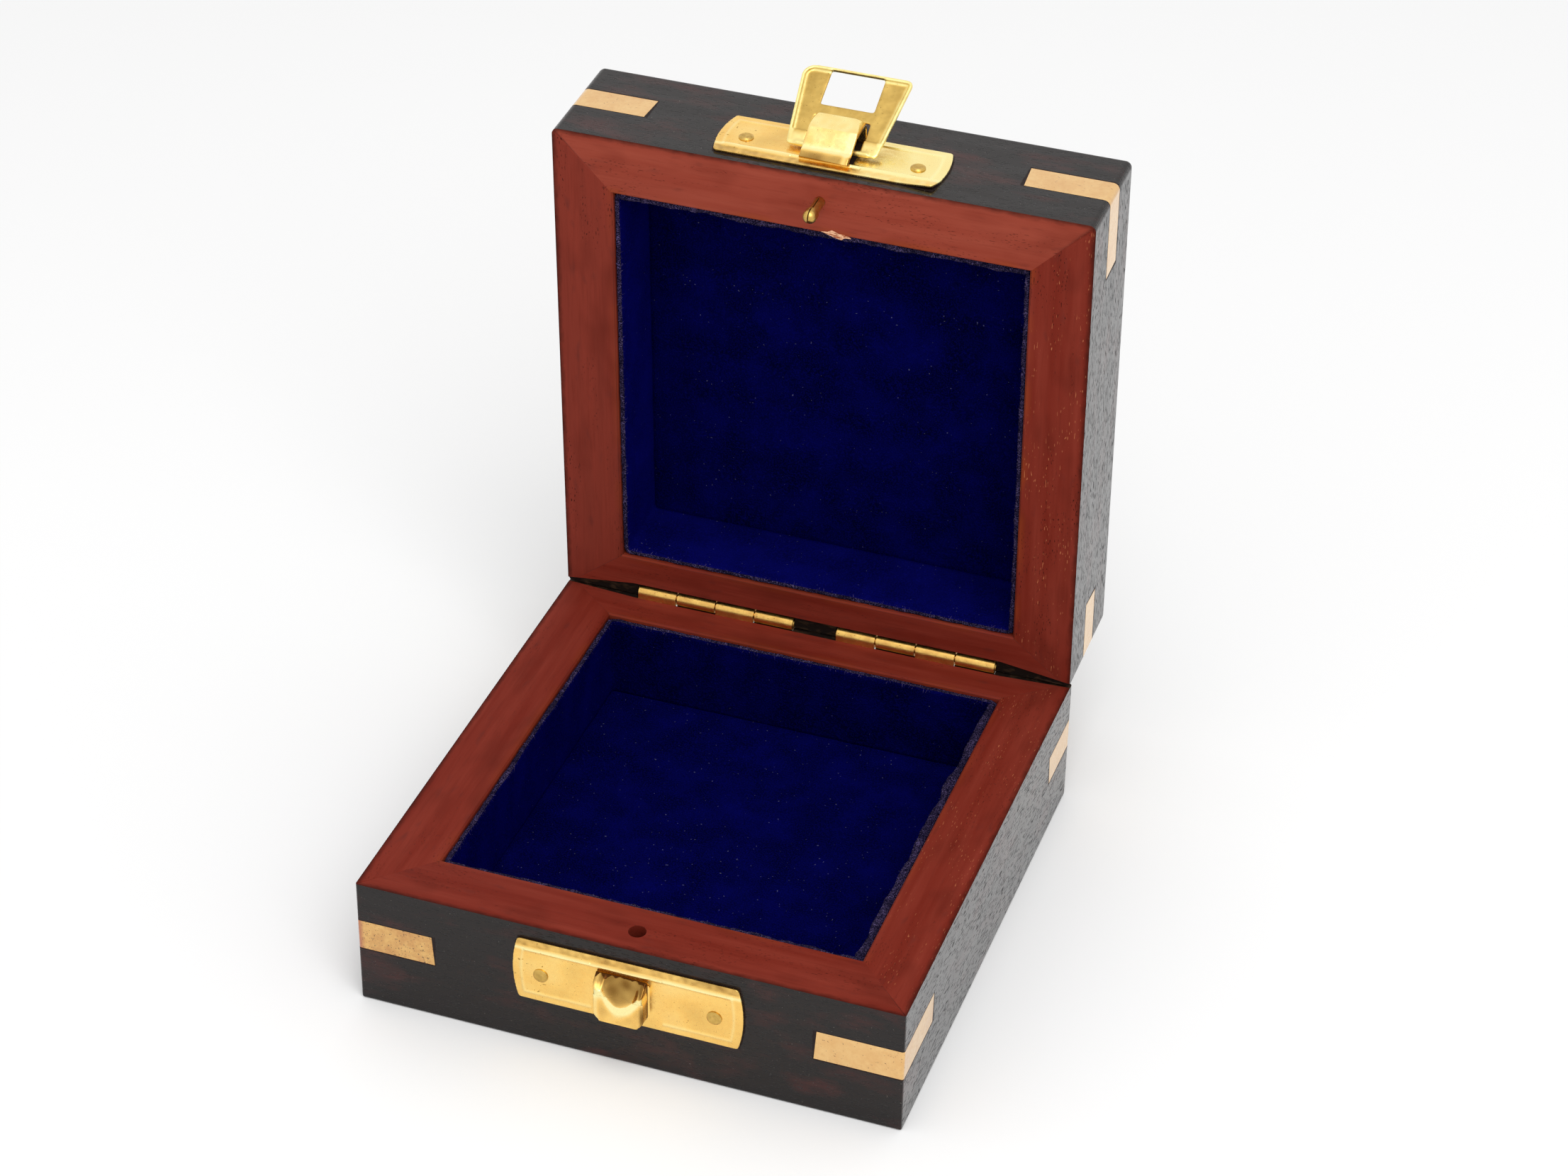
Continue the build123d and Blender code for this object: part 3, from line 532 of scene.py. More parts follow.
# Freshly broken wood where a splinter came off: pale peach with red fibres
RAW_WOOD = Mottled("wood_freshly_splintered", Half.LID, plain="#f3bd96", roughness=0.85, gloss=0.1, layers=(
    Layer("#b0603c", Pattern((1.2, 0.25, 0.25), 0.5, 0.62), rise=-0.1),))
# Satin brass strip under lacquer, soft in its reflections. One of them is stained by handling
INLAY_BRASS = Brass("inlay_brass_satin", plain="#ecc27f", aged="#d79d58", speck="#7a4522", roughness=0.34,
                    aged_size=5.0, aged_share=0.45, speck_size=0.4, speck_level=0.71, dimples=0.02,
                    lacquered=True)
STAINED_INLAY = Brass("inlay_brass_stained", plain="#e2b469", aged="#b9793f", speck="#4c2a12",
                      roughness=0.4, aged_size=3.5, aged_share=0.6, speck_size=0.34, speck_level=0.65,
                      dimples=0.02, lacquered=True, copper_from=-55.6)
# Stamped sheet: bright and a little uneven, so that its reflections wander
PLATE_BRASS = Brass("plate_brass_polished", plain="#fdd278", aged="#f0b85f", speck="#6b4216",
                    bright="#fff3ae", roughness=0.2, aged_size=8.0, aged_share=0.4, speck_size=0.3,
                    speck_level=0.73)
FLAP_BRASS = Brass("flap_brass_satin", plain="#e3bf6b", aged="#bf9a50", speck="#4d3a12", bright="#fff0a4",
                   shade="#9a7a3a", roughness=0.3, aged_size=4.0, speck_size=0.3, dimples=0.02)
# Rolled knuckles with darkened patches, and pins that have gone dull
HINGE_BRASS = Brass("hinge_brass_rolled", plain="#eec36c", aged="#b98043", speck="#5a3010", roughness=0.3,
                    aged_size=3.0, aged_share=0.6, speck_size=0.25, dimples=0.02)
PIN_BRASS = Brass("pin_brass_aged", plain="#d9b361", aged="#a98845", speck="#4b3515", roughness=0.3,
                  aged_size=1.5, aged_share=0.7, speck_size=0.25, dimples=0.02)
VELVET = velvet("velvet_deep_blue", "#020326", "#080a66")
# A lighter copy of the velvet for the lid's walls, which catch more light: painted light
LIT_WALL_VELVET = velvet("velvet_deep_blue_lit_upright", "#04053a", "#0d0f74")
PILE = fibre("velvet_fibres_blue", "#020230", "#0b0d70")
FRAY = fibre("velvet_fibres_frayed", "#241d44", "#6d6090")
# The velvet's cut edge, where the pale cotton ground shows between dark threads
CUT_EDGE = Mottled("velvet_cut_edge", plain="#0b0820", roughness=0.95, layers=(
    Layer("#5d5078", Pattern((0.28, 0.28, 0.28), 0.42, 0.66, 1), rise=0.25),
    Layer("#0b0820", Pattern((4, 4, 4), 0.4, 0.6, 1, 5), 0.6)))

# What sets a board's rim apart from the others
RIM_TOUCHES: dict[str, dict[str, object]] = {
    "base_right_board": {"flecks": 0.4, "pits": 0.3},
    "base_left_board": {"pits": 0.3},
    "lid_front_board": {"plain": "#933e2e", "pale": "#9d4837", "dark": "#74291c", "glow": 0.6},
    "lid_left_board": {"plain": "#7b3024", "pits": 0.9},
    "lid_right_board": {"pits": 0.8, "flecks": 0.5, "glow": 0.5},
}
# How glossy the lacquer is on the side boards, the front boards and the rest
SIDE_GLOSS = {Half.BASE: 0.94, Half.LID: 0.6}
FRONT_GLOSS = 0.33
PLAIN_GLOSS = 0.5

CORNERS = ("front_left", "front_right", "back_left", "back_right")
PANELS = {Half.BASE: "base_bottom_panel", Half.LID: "lid_top_panel"}
PLATES = {Half.BASE: CATCH_SHAPE, Half.LID: HASP_SHAPE}
# The order of a board's finishes
OUTSIDE, RIM, EDGE, TRENCH = range(4)


def new_piece(name: str, data: bpy.types.ID) -> bpy.types.Object:
    """Puts a mesh, a lamp or a camera into the scene as an object at the origin."""
    piece = bpy.data.objects.new(name, data)
    bpy.context.scene.collection.objects.link(piece)
    return piece


def dress(mesh: bpy.types.Mesh, *finishes: Finish) -> None:
    """Gives a mesh these finishes and no others."""
    mesh.materials.clear()
    for finish in finishes:
        mesh.materials.append(finish.material())


def dress_nodes(nodes: Sequence[str], finish: Finish) -> None:
    """Gives CAD nodes, whose shape is kept, a finish."""
    for node in nodes:
        dress(frame["nodes"][node].data, finish)
        log.info("%s: dressed", node)


def declare(piece: bpy.types.Object, body: str, node: str | None = None) -> None:
    """States what a finished piece is.

    Args:
        piece: The piece.
        body: The body it rides on.
        node: The CAD node it stands in for, if there is one.
    """
    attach(piece, body)
    if node is not None:
        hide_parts(node)
    log.info("%s: %d faces", piece.name, len(piece.data.polygons))


def applied(piece: bpy.types.Object) -> bpy.types.Mesh:
    """Turns a piece's modifiers into plain mesh and takes them off it.

    Args:
        piece: The object with modifiers.

    Returns:
        Its new mesh.
    """
    graph = bpy.context.evaluated_depsgraph_get()
    mesh = bpy.data.meshes.new_from_object(piece.evaluated_get(graph))
    piece.modifiers.clear()
    piece.data = mesh
    return mesh


def joined_copy(node: str, name: str, whole_faces: bool = True) -> bpy.types.Object:
    """A copy of a CAD node whose loose triangles are joined into a closed surface.

    Args:
        node: The node's name.
        name: The copy's name.
        whole_faces: Whether triangles that lie in one plane become one face.

    Returns:
        The copy.
    """
    shape = bmesh.new()
    shape.from_mesh(frame["nodes"][node].data)
    bmesh.ops.remove_doubles(shape, verts=shape.verts, dist=SAME_PLACE * MM)
    if whole_faces:
        bmesh.ops.dissolve_limit(shape, angle_limit=SAME_PLANE, verts=shape.verts, edges=shape.edges)
    bmesh.ops.recalc_face_normals(shape, faces=shape.faces)
    return poured(shape, name)


def poured(shape: bmesh.types.BMesh, name: str) -> bpy.types.Object:
    """Turns a shape that is being worked on into a piece."""
    mesh = bpy.data.meshes.new(name)
    shape.to_mesh(mesh)
    shape.free()
    return new_piece(name, mesh)


def smoothed(piece: bpy.types.Object, angle: float = SHARP_FROM) -> bpy.types.Mesh:
    """Shades a piece smoothly, while its large faces keep the look of flat ones.

    Args:
        piece: The piece.
        angle: Edges sharper than this stay sharp.

    Returns:
        Its new mesh.
    """
    piece.data.shade_smooth()
    piece.data.set_sharp_from_angle(angle=angle)
    weighted = piece.modifiers.new("flat_faces", "WEIGHTED_NORMAL")
    weighted.keep_sharp = True
    weighted.weight = 100
    return applied(piece)


def soften(node: str, easing: float, finish: Finish, body: str) -> None:
    """Stands a brass piece with softly rounded edges in for a CAD node.

    Args:
        node: The node's name.
        easing: The rounding of its edges in millimetres.
        finish: What it is finished with.
        body: The body it rides on.
    """
    piece = joined_copy(node, f"{node}_brass")
    bevel = piece.modifiers.new("easing", "BEVEL")
    bevel.width = easing * MM
    bevel.segments = 2
    bevel.limit_method = "ANGLE"
    bevel.angle_limit = SHARP_FROM
    applied(piece)
    dress(smoothed(piece), finish)
    declare(piece, body, node)


def closed_span(node: str, half: Half) -> tuple[Vector, Vector]:
    """The lowest and highest corner of a CAD node on the closed box, in millimetres."""
    closing = half.opening().inverted()
    spots = [closing @ v.co / MM for v in frame["nodes"][node].data.vertices]
    return Vector(map(min, zip(*spots))), Vector(map(max, zip(*spots)))


@dataclass
class Woodwork:
    """The boards and the panel of one half, eased along their edges and dressed by the side they face."""

    half: Half
    easing: float = 0.22
    skin: float = 1.6
    trench: tuple[float, float] = (0.06, 3.6)
    faces_out: float = 0.35
    mitred_within: float = 0.1
    eased_from: float = math.radians(28)
    sharp_from: float = math.radians(40)

    def runs(self) -> dict[str, Grain]:
        """Which way the fibres run in each of the half's boards."""
        sides = {"front": Grain.ACROSS, "back": Grain.ACROSS, "left": Grain.FRONT_TO_BACK,
                 "right": Grain.FRONT_TO_BACK}
        boards = {f"{self.half.value}_{side}_board": grain for side, grain in sides.items()}
        return boards | {PANELS[self.half]: Grain.ACROSS}

    def finishes(self, board: str, grain: Grain) -> tuple[Finish, ...]:
        """What a board's outside, rim, edges and hinge trench are finished with; the trench gets painted
        shade.

        Args:
            board: The board's node.
            grain: Which way its fibres run.

        Returns:
            The four finishes in that order.
        """
        inlays = tuple(closed_span(f"{self.half.value}_{corner}_inlay", self.half) for corner in CORNERS
                       if any(word in board.split("_") for word in corner.split("_")))
        side, front = grain is Grain.FRONT_TO_BACK, board.endswith("front_board")
        gloss = SIDE_GLOSS[self.half] if side else FRONT_GLOSS if front else PLAIN_GLOSS
        outside = Lacquer(f"hardwood_lacquered_{board}", self.half, grain, pores=1.0 if side else 0.45,
                          gloss=gloss, inlays=inlays, plate=PLATES[self.half] if front else None)
        rim = RimWood(f"hardwood_oiled_rim_{board}", self.half, grain, **RIM_TOUCHES.get(board, {}))
        return outside, rim, worn_edge(board, self.half, grain), TRENCH_SHADE

    def is_outside(self, spot: Vector, facing: Vector) -> bool:
        """Whether a face of the closed box belongs to its lacquered outside.

        Args:
            spot: The face's middle in millimetres.
            facing: Its normal.

        Returns:
            True for the outer faces and the bottom or top.
        """
        if any(abs(spot[i]) > HALF - self.skin and abs(facing[i]) > self.faces_out for i in (0, 1)):
            return True
        if self.half is Half.BASE:
            return spot.z < self.skin and facing.z < -self.faces_out
        return spot.z > LID_TOP - self.skin and facing.z > self.faces_out

    def is_trench(self, spot: Vector) -> bool:
        """Whether a place on the closed half lies in the recess behind its rear rim."""
        under_rim = BASE_RIM - spot.z if self.half is Half.BASE else spot.z - LID_RIM
        least, most = self.trench
        return spot.y > HALF - most and least < under_rim < most

    def ease(self, piece: bpy.types.Object) -> None:
        """Rounds a board's edges a little, apart from those of its mitres.

        Args:
            piece: The joined copy of the board, whose materials are its outside, rim, edge and trench.
        """
        closing = self.half.opening().inverted()
        turn = closing.to_3x3()
        shape = bmesh.new()
        shape.from_mesh(piece.data)
        for face in shape.faces:
            spot = closing @ face.calc_center_median() / MM
            outside = self.is_outside(spot, turn @ face.normal)
            face.material_index = OUTSIDE if outside else TRENCH if self.is_trench(spot) else RIM
        sharp = []
        for edge in shape.edges:
            turned = [turn @ face.normal for face in edge.link_faces]
            mitred = any(max(abs(abs(n.x) - abs(n.y)), abs(n.z)) < self.mitred_within for n in turned)
            if len(turned) == 2 and not mitred and edge.calc_face_angle() > self.eased_from:
                sharp.append(edge)
        bmesh.ops.bevel(shape, geom=sharp, offset=self.easing * MM, offset_type="OFFSET", segments=2,
                        profile=0.6, affect="EDGES", clamp_overlap=True, material=EDGE)
        bmesh.ops.triangulate(shape, faces=[f for f in shape.faces if len(f.verts) > 4])
        shape.to_mesh(piece.data)
        shape.free()
        smoothed(piece, self.sharp_from)

    def build(self) -> None:
        """Builds and dresses the half's boards and panel."""
        for node, grain in self.runs().items():
            piece = joined_copy(node, f"{node}_wood")
            dress(piece.data, *self.finishes(node, grain))
            self.ease(piece)
            declare(piece, self.half.value, node)


@dataclass
class Inlays:
    """The four brass strips let in round the corners of one half."""

    half: Half
    easing: float = 0.12

    def build(self) -> None:
        """Builds and dresses the half's inlays."""
        for corner in CORNERS:
            node = f"{self.half.value}_{corner}_inlay"
            finish = STAINED_INLAY if node == "base_front_left_inlay" else INLAY_BRASS
            soften(node, self.easing, finish, self.half.value)


@dataclass
class Hinges:
    """The two rolled brass hinges, with their pins and nails."""

    easing: float = 0.08

    def build(self) -> None:
        """Softens the leaves' edges, and dresses the pins and nails."""
        for side in ("left", "right"):
            for body in ("base", "lid"):
                soften(f"{side}_hinge_{body}_leaf", self.easing, HINGE_BRASS, body)
        dress_nodes(("left_hinge_pin", "right_hinge_pin", "base_leaf_nails", "lid_leaf_nails"), PIN_BRASS)


@dataclass
class PressedBrass:
    """A piece stamped out of brass sheet: its folds are round, its faces a little uneven."""

    node: str
    body: str
    finish: Finish
    grid: float = 0.17
    rounds: int = 5

    def build(self, rule: Pressing) -> None:
        """Builds the piece over its CAD node.

        Args:
            rule: Where the stamping takes a point of the closed box, in millimetres, and its painted light.
        """
        piece = joined_copy(self.node, f"{self.node}_brass", whole_faces=False)
        remesh = piece.modifiers.new("grid", "REMESH")
        remesh.mode = "VOXEL"
        remesh.voxel_size = self.grid * MM
        relax = piece.modifiers.new("relax", "SMOOTH")
        relax.factor = 0.5
        relax.iterations = self.rounds
        mesh = applied(piece)
        self.press(mesh, rule)
        mesh.shade_smooth()
        dress(mesh, self.finish)
        declare(piece, self.body, self.node)

    def press(self, mesh: bpy.types.Mesh, rule: Pressing) -> None:
        """Moves the mesh's points by the rule, and notes each one's painted light."""
        opening = (Half.BASE if self.body == "base" else Half.LID).opening()
        closing = opening.inverted()
        lights_and_pits = []
        for vertex in mesh.vertices:
            spot, painted_light_and_pits = rule(closing @ vertex.co / MM)
            vertex.co = opening @ (spot * MM)
            lights_and_pits.append(painted_light_and_pits)
        mesh.attributes.new("painted_light_and_pits", "FLOAT", "POINT").data.foreach_set("value", lights_and_pits)


@dataclass(frozen=True)
class Knob:
    """The catch's knob, pressed out of the plate: its crest sags in the middle to the shape of a V.

    The profile gives the plain stamping as heights and how proud it stands there. The foot and the top are
    the same for the sagged knob, and the ledge keeps it clear of the closed flap.
    """

    middle: float = -0.45
    level: float = 12.6
    half_width: float = 5.3
    shoulders: tuple[float, float] = (1.9, 1.1)
    crest_proud: float = 4.3
    sheet_proud: float = 0.7
    profile: tuple[tuple[float, float], ...] = (
        (11.1, 0.7), (11.7, 1.7), (12.3, 3.4), (13.5, 3.4), (18.8, 3.3), (19.4, 4.3), (19.7, 4.3),
        (21.8, 0.7))
    foot: tuple[float, float] = (12.5, 3.2)
    top: tuple[float, float] = (22.9, 1.0)
    ledge: tuple[float, float, float] = (3.3, 18.85, 19.5)
    sag: float = 16.8
    sag_slopes: tuple[float, float] = (0.36, 0.2)
    sag_limit: float = 20.6
    sag_proud: tuple[float, float, float] = (3.6, 0.7, 4.0)
    scoops: tuple[tuple[float, float], ...] = ((-3.6, 21.0), (0.3, 21.3), (3.6, 20.6))
    scoop: tuple[float, float] = (0.35, 1.1)
    raised_top: tuple[float, float, float] = (1.1, 18.0, 21.8)
    narrowing: tuple[float, float, float] = (0.09, -14.0, -11.0)
    # Where the painted shade of the slits begins at the top and on the right, and how dark it is
    top_slit_from: float = 22.45
    slit_from: float = 13.5
    slit_shade_level: float = -1.5

    def crown(self, across: float) -> float:
        """How proud the knob's rounded shoulders let it stand."""
        radius = self.shoulders[0] if across < 0 else self.shoulders[1]
        past = abs(across) - (self.half_width - radius)
        if past <= 0:
            return self.crest_proud
        return self.crest_proud - radius + math.sqrt(max(0.0, radius ** 2 - past ** 2))

    def stamped(self, height: float) -> float:
        """How proud the plain stamping stands at a height."""
        for (low, start), (high, end) in zip(self.profile, self.profile[1:]):
            if height <= high:
                return start + (end - start) * max(0.0, height - low) / (high - low)
        return self.sheet_proud

    def crest(self, across: float) -> tuple[float, float]:
        """The height of the sagging crest, and how proud it stands."""
        slope = self.sag_slopes[0] if across < 0 else self.sag_slopes[1]
        proud, growth, reach = self.sag_proud
        height = min(self.sag_limit, self.sag + slope * across ** 2)
        return height, proud + growth * min(1.0, (across / reach) ** 2)

    def sagged(self, across: float, height: float) -> float:
        """How proud the sagged knob stands."""
        crest, proud = self.crest(across)
        ledge = self.ledge[0] + soft_step(height, *self.ledge[1:])
        if height >= crest:
            share = (height - crest) / (self.top[0] - crest)
            depth, width = self.scoop
            scooped = sum(depth * math.exp(-((across - x) ** 2 + (height - z) ** 2) / width)
                          for x, z in self.scoops)
            return min(ledge, proud + (self.top[1] - proud) * share - scooped)
        share = max(0.0, (height - self.foot[0]) / (crest - self.foot[0]))
        return min(ledge, self.foot[1] + (proud - self.foot[1]) * share ** 2.5)

    def press(self, spot: Vector) -> tuple[Vector, float]:
        """Sags one point of the stamping, and gives its painted light."""
        across, proud = spot.x - self.middle, proud_of(spot)
        rise, *rising = self.raised_top
        height = spot.z + rise * soft_step(spot.z, *rising)
        crown, before = self.crown(across), min(self.stamped(spot.z), self.crown(across))
        after = before if spot.z < self.foot[0] else min(self.sagged(across, height), crown)
        ratio = (after - self.sheet_proud) / max(0.25, before - self.sheet_proud)
        new_proud = self.sheet_proud + (proud - self.sheet_proud) * ratio
        narrow, *narrowing = self.narrowing
        across_now = across * (1 - narrow * soft_step(-height, *narrowing))
        return (Vector((self.middle + across_now, -HALF - new_proud, height)),
                self.painted_light_and_pits(spot, across, height, proud))

    def painted_light_and_pits(self, spot: Vector, across: float, height: float, proud: float) -> float:
        """The painted light of a point.

        Args:
            spot: The point before it is pressed.
            across: How far it lies to the right of the knob's middle.
            height: Its height when pressed.
            proud: How far it stands out before it is pressed.

        Returns:
            A painted highlight in a band along the crest, painted shade above it, a painted highlight on the
            left shoulder and painted shade on the right one.
            The jagged upper edge and the slit on the right get the darker painted shade of a slit.
        """
        # Painted shade of a slit along the jagged upper edge and down the right side
        top_slit = self.top_slit_from + 0.7 * swell(Vector((across, 7.0, 0.0)), 1.2)
        beside = across > self.half_width - 0.12 and height > self.slit_from
        if height > top_slit or beside and proud < 1.25 + 0.5 * swell(spot, 1.4):
            return self.slit_shade_level
        # Painted highlight in a band below the crest and on the left shoulder, painted shade above the crest
        # and on the right shoulder
        crest = self.crest(across)[0]
        band = hump(height, crest - 0.9, 1.3)
        painted_light_and_pits = -0.85 - 0.5 * band if height > crest else -0.1
        painted_light_and_pits += 0.3 * swell(spot, 2.4) + 1.9 * band - 0.8 * soft_step(across, 4.2, 5.0)
        return clamped_painted_light(painted_light_and_pits + 0.5 * hump(across, -4.6, 0.5))


@dataclass(frozen=True)
class Bridge:
    """The hasp plate's bridge: a strip pressed up over the flap's bar, flared at its foot."""

    middle: float = -0.35
    level: float = 38.0
    half_width: float = 5.25
    foot: float = 35.0
    foot_height: float = 1.7
    crest: float = 39.1
    flare: tuple[float, float] = (0.6, 0.9)
    flare_out: float = 0.35
    front_from: tuple[float, float] = (0.75, 1.25)

    def press(self, spot: Vector) -> tuple[Vector, float]:
        """Flares one point of the bridge, and gives its painted light."""
        across, proud = spot.x - self.middle, proud_of(spot)
        low = max(0.0, (self.foot - spot.z) / self.foot_height) * soft_step(proud, *self.front_from)
        flare = self.flare[0] + self.flare[1] * (across + self.half_width) / (2 * self.half_width)
        moved = Vector((spot.x, spot.y - self.flare_out * low, spot.z - flare * low))
        # Painted highlight over the crest. On the front, painted highlights along the foot and the right
        # edge, painted shade under the flare, and painted shade down the right side
        if spot.z > self.crest:
            painted_light_and_pits = 0.6 + 0.35 * swell(spot, 1.6)
        else:
            painted_light_and_pits = 0.35 + 0.5 * swell(spot, 3.0) - 0.9 * soft_step(low, 0.1, 0.5)
            painted_light_and_pits += 0.8 * hump(spot.z, self.foot, 0.6) + 0.8 * hump(across, 4.2, 0.6)
        return moved, clamped_painted_light(painted_light_and_pits - 0.9 * soft_step(across, 4.95, 5.15))


@dataclass(frozen=True)
class Flap:
    """The dished flap, with painted light: a painted highlight on the land along its bar and on the raised
    rim, and painted shade in the dish between.
    """

    middle: float = -0.1
    bar: tuple[float, float] = (1.75, 37.3)
    lean: float = math.radians(25.7)
    length: float = 19.03
    heel_half_width: float = 9.56
    widening: float = 0.11
    rim: tuple[float, float] = (0.8, 1.7)
    land: tuple[float, float] = (1.6, 3.4)

    def press(self, spot: Vector) -> tuple[Vector, float]:
        """Gives one point of the flap its painted light. Its place is kept."""
        rise, out = spot.z - self.bar[1], proud_of(spot) - self.bar[0]
        along = rise * math.cos(self.lean) + out * math.sin(self.lean)
        half_width = self.heel_half_width + self.widening * (along + 0.5)
        edge = min(half_width - abs(spot.x - self.middle), self.length - along)
        painted_light_and_pits = max(0.75 - 1.1 * soft_step(edge, *self.rim), 0.6 - 0.9 * soft_step(along, *self.land))
        return spot, clamped_painted_light(painted_light_and_pits + 0.3 * swell(spot, 2.6) + 0.15 * swell(spot, 0.8))


@dataclass
class Fastening:
    """The stamped catch plate, hasp plate and flap, with the pins that hold the plates."""

    line_inset: float = 1.9
    line_width: float = 0.32
    line_rise: float = 0.16
    line_from: float = 7.5
    bend: float = 0.55
    bent: tuple[tuple[float, float], ...] = ((15.0, 24.0), (-35.5, -31.0))
    face_from: float = 0.45
    raised_from: float = 0.85
    raised_height: float = 10.0
    raised_margin: float = 0.12

    def lined(self, plate: PlateShape, raised: Knob | Bridge) -> Pressing:
        """The rule for a plate: what stands out of its middle, and the line inside its edge.

        Args:
            plate: The plate's outline.
            raised: What stands out of it.

        Returns:
            Where each point goes, and its painted light.
        """
        def press(spot: Vector) -> tuple[Vector, float]:
            """Presses one point."""
            across, proud = spot.x - plate.middle[0], proud_of(spot)
            beside = abs(spot.x - raised.middle) - raised.half_width
            above = abs(spot.z - raised.level)
            if beside < self.raised_margin and proud > self.raised_from and above < self.raised_height:
                return raised.press(spot)
            off = abs(spot.z - plate.middle[1])
            bow = plate.bulge * (1 - (off / plate.half_size[1]) ** 2)
            edge = min(plate.half_size[0] + bow - abs(across), plate.half_size[1] - off)
            line = hump(edge, self.line_inset, self.line_width) if abs(across) > self.line_from else 0.0
            push = Vector((0, 0, 0))
            if proud > self.face_from:
                push.y = 0.05 * swell(spot, 4.5) - self.line_rise * line
            if plate is HASP_SHAPE:
                push.y -= self.bend * soft_step(across, *self.bent[0]) * soft_step(-spot.z, *self.bent[1])
            return spot + push, self.plate_light_and_pits(spot, across, plate.bead, line)

        return press

    def plate_light_and_pits(self, spot: Vector, across: float, bead: float, line: float) -> float:
        """The painted light, and the pits, of a point of a plate.

        Args:
            spot: The point.
            across: How far it lies to the right of the plate's middle.
            bead: The height of the plate's bead.
            line: How fully it lies on the raised line.

        Returns:
            A painted highlight on the bead and the line, painted shade past the bead, and dark pits at the
            left end. The hasp plate gets a painted highlight on its right.
        """
        on_lid = bead > LID_RIM
        # Painted highlight on the bead and the raised line, and painted shade past the bead
        painted_light_and_pits = 0.25 * swell(spot, 5.0) + 0.35 * line + 0.9 * hump(spot.z, bead, 0.4)
        outer = bead - spot.z if on_lid else spot.z - bead
        painted_light_and_pits -= (0.35 + 0.35 * swell(spot, 1.1)) * soft_step(outer, 0.5, 1.0)
        if across < -17 and swell(spot, 0.5) > 0.62:
            painted_light_and_pits = -0.8
        # Painted highlight on the hasp plate's right
        if on_lid:
            painted_light_and_pits += 0.75 * soft_step(across, 4.0, 9.0)
        return clamped_painted_light(painted_light_and_pits, -1.2)

    def build(self) -> None:
        """Builds the plates and the flap, and dresses the pins."""
        PressedBrass("catch_plate", "base", PLATE_BRASS).build(self.lined(CATCH_SHAPE, Knob()))
        PressedBrass("hasp_plate", "lid", PLATE_BRASS).build(self.lined(HASP_SHAPE, Bridge()))
        PressedBrass("hasp_flap", "hasp", FLAP_BRASS, grid=0.14, rounds=26).build(Flap().press)
        dress_nodes(("catch_plate_pins", "hasp_plate_pins", "locating_pin"), PIN_BRASS)


@dataclass
class Traces:
    """Painted shade as dark blocks in the gaps under the hinges, and a place where a splinter came off."""

    shade_back: float = 0.2
    shade_foot: float = 1.9
    barrel: float = 1.53
    leaf_sheet: float = 0.64
    knuckles: int = 4
    sliver: tuple[tuple[float, float], ...] = (
        (0.6, -44.4), (2.0, -44.6), (2.9, -45.1), (4.3, -44.6), (5.4, -44.6), (6.9, -43.9), (5.6, -43.8),
        (4.9, -43.2), (3.2, -43.6))
    sliver_crown: tuple[tuple[float, float], ...] = ((2.4, -44.2), (4.6, -44.1))
    sliver_levels: tuple[float, float, float] = (-0.02, -0.09, 0.25)

    def dark_seam(self) -> None:
        """Fills the narrow gap behind each leaf, under the lid's knuckles, with dark blocks of painted shade.
        """
        for side in ("left", "right"):
            low, high = closed_span(f"{side}_hinge_base_leaf", Half.BASE)
            width = (high.x - low.x) / self.knuckles
            shape = bmesh.new()
            for k in range(1, self.knuckles, 2):
                self.slab(shape, low.x + k * width, width)
            self.leave(shape, f"{side}_hinge_gap_shade", HINGE_GAP_SHADE, "base")

    def slab(self, shape: bmesh.types.BMesh, start: float, width: float) -> None:
        """Adds one dark block of painted shade to a shape, from a place along the hinge on."""
        reach = self.barrel - self.leaf_sheet
        top = AXIS.z - math.sqrt(self.barrel ** 2 - reach ** 2)
        foot = AXIS.z - self.shade_foot
        size = Vector((width, self.shade_back, top - foot))
        middle = Vector((start + width / 2, AXIS.y - reach + self.shade_back / 2, (top + foot) / 2))
        place = Matrix.Translation(middle * MM) @ Matrix.Diagonal((size * MM).to_4d())
        bmesh.ops.create_cube(shape, size=1.0, matrix=place)

    def splinter(self) -> None:
        """Lays bare a sliver of raw wood at the lid well's front edge, below the locating pin."""
        edge, crown, root = (LID_RIM + level for level in self.sliver_levels)
        rings = ((self.sliver, edge), (self.sliver_crown, crown), (self.sliver, root))
        shape = bmesh.new()
        opening = Half.LID.opening()
        points = [shape.verts.new(opening @ (Vector((x, y, z)) * MM)) for ring, z in rings for x, y in ring]
        count = len(self.sliver)
        left, right, below = count, count + 1, count + 2
        faces = [(left, 0, 1), (left, 1, 2), (left, 2, right), (right, 2, 3), (right, 3, 4), (right, 4, 5),
                 (right, 5, 6), (left, right, 6), (left, 6, 7), (left, 7, 8), (left, 8, 0)]
        faces += [(i, below + i, below + (i + 1) % count, (i + 1) % count) for i in range(count)]
        faces.append(tuple(below + i for i in range(count)))
        for face in faces:
            shape.faces.new([points[i] for i in face])
        bmesh.ops.recalc_face_normals(shape, faces=shape.faces)
        self.leave(shape, "lid_rim_splinter", RAW_WOOD, "lid")

    def leave(self, shape: bmesh.types.BMesh, name: str, finish: Finish, body: str) -> None:
        """Turns a shape into a trace that rides on a body."""
        piece = poured(shape, name)
        dress(piece.data, finish)
        declare(piece, body)

    def build(self) -> None:
        """Builds all the traces."""
        self.dark_seam()
        self.splinter()


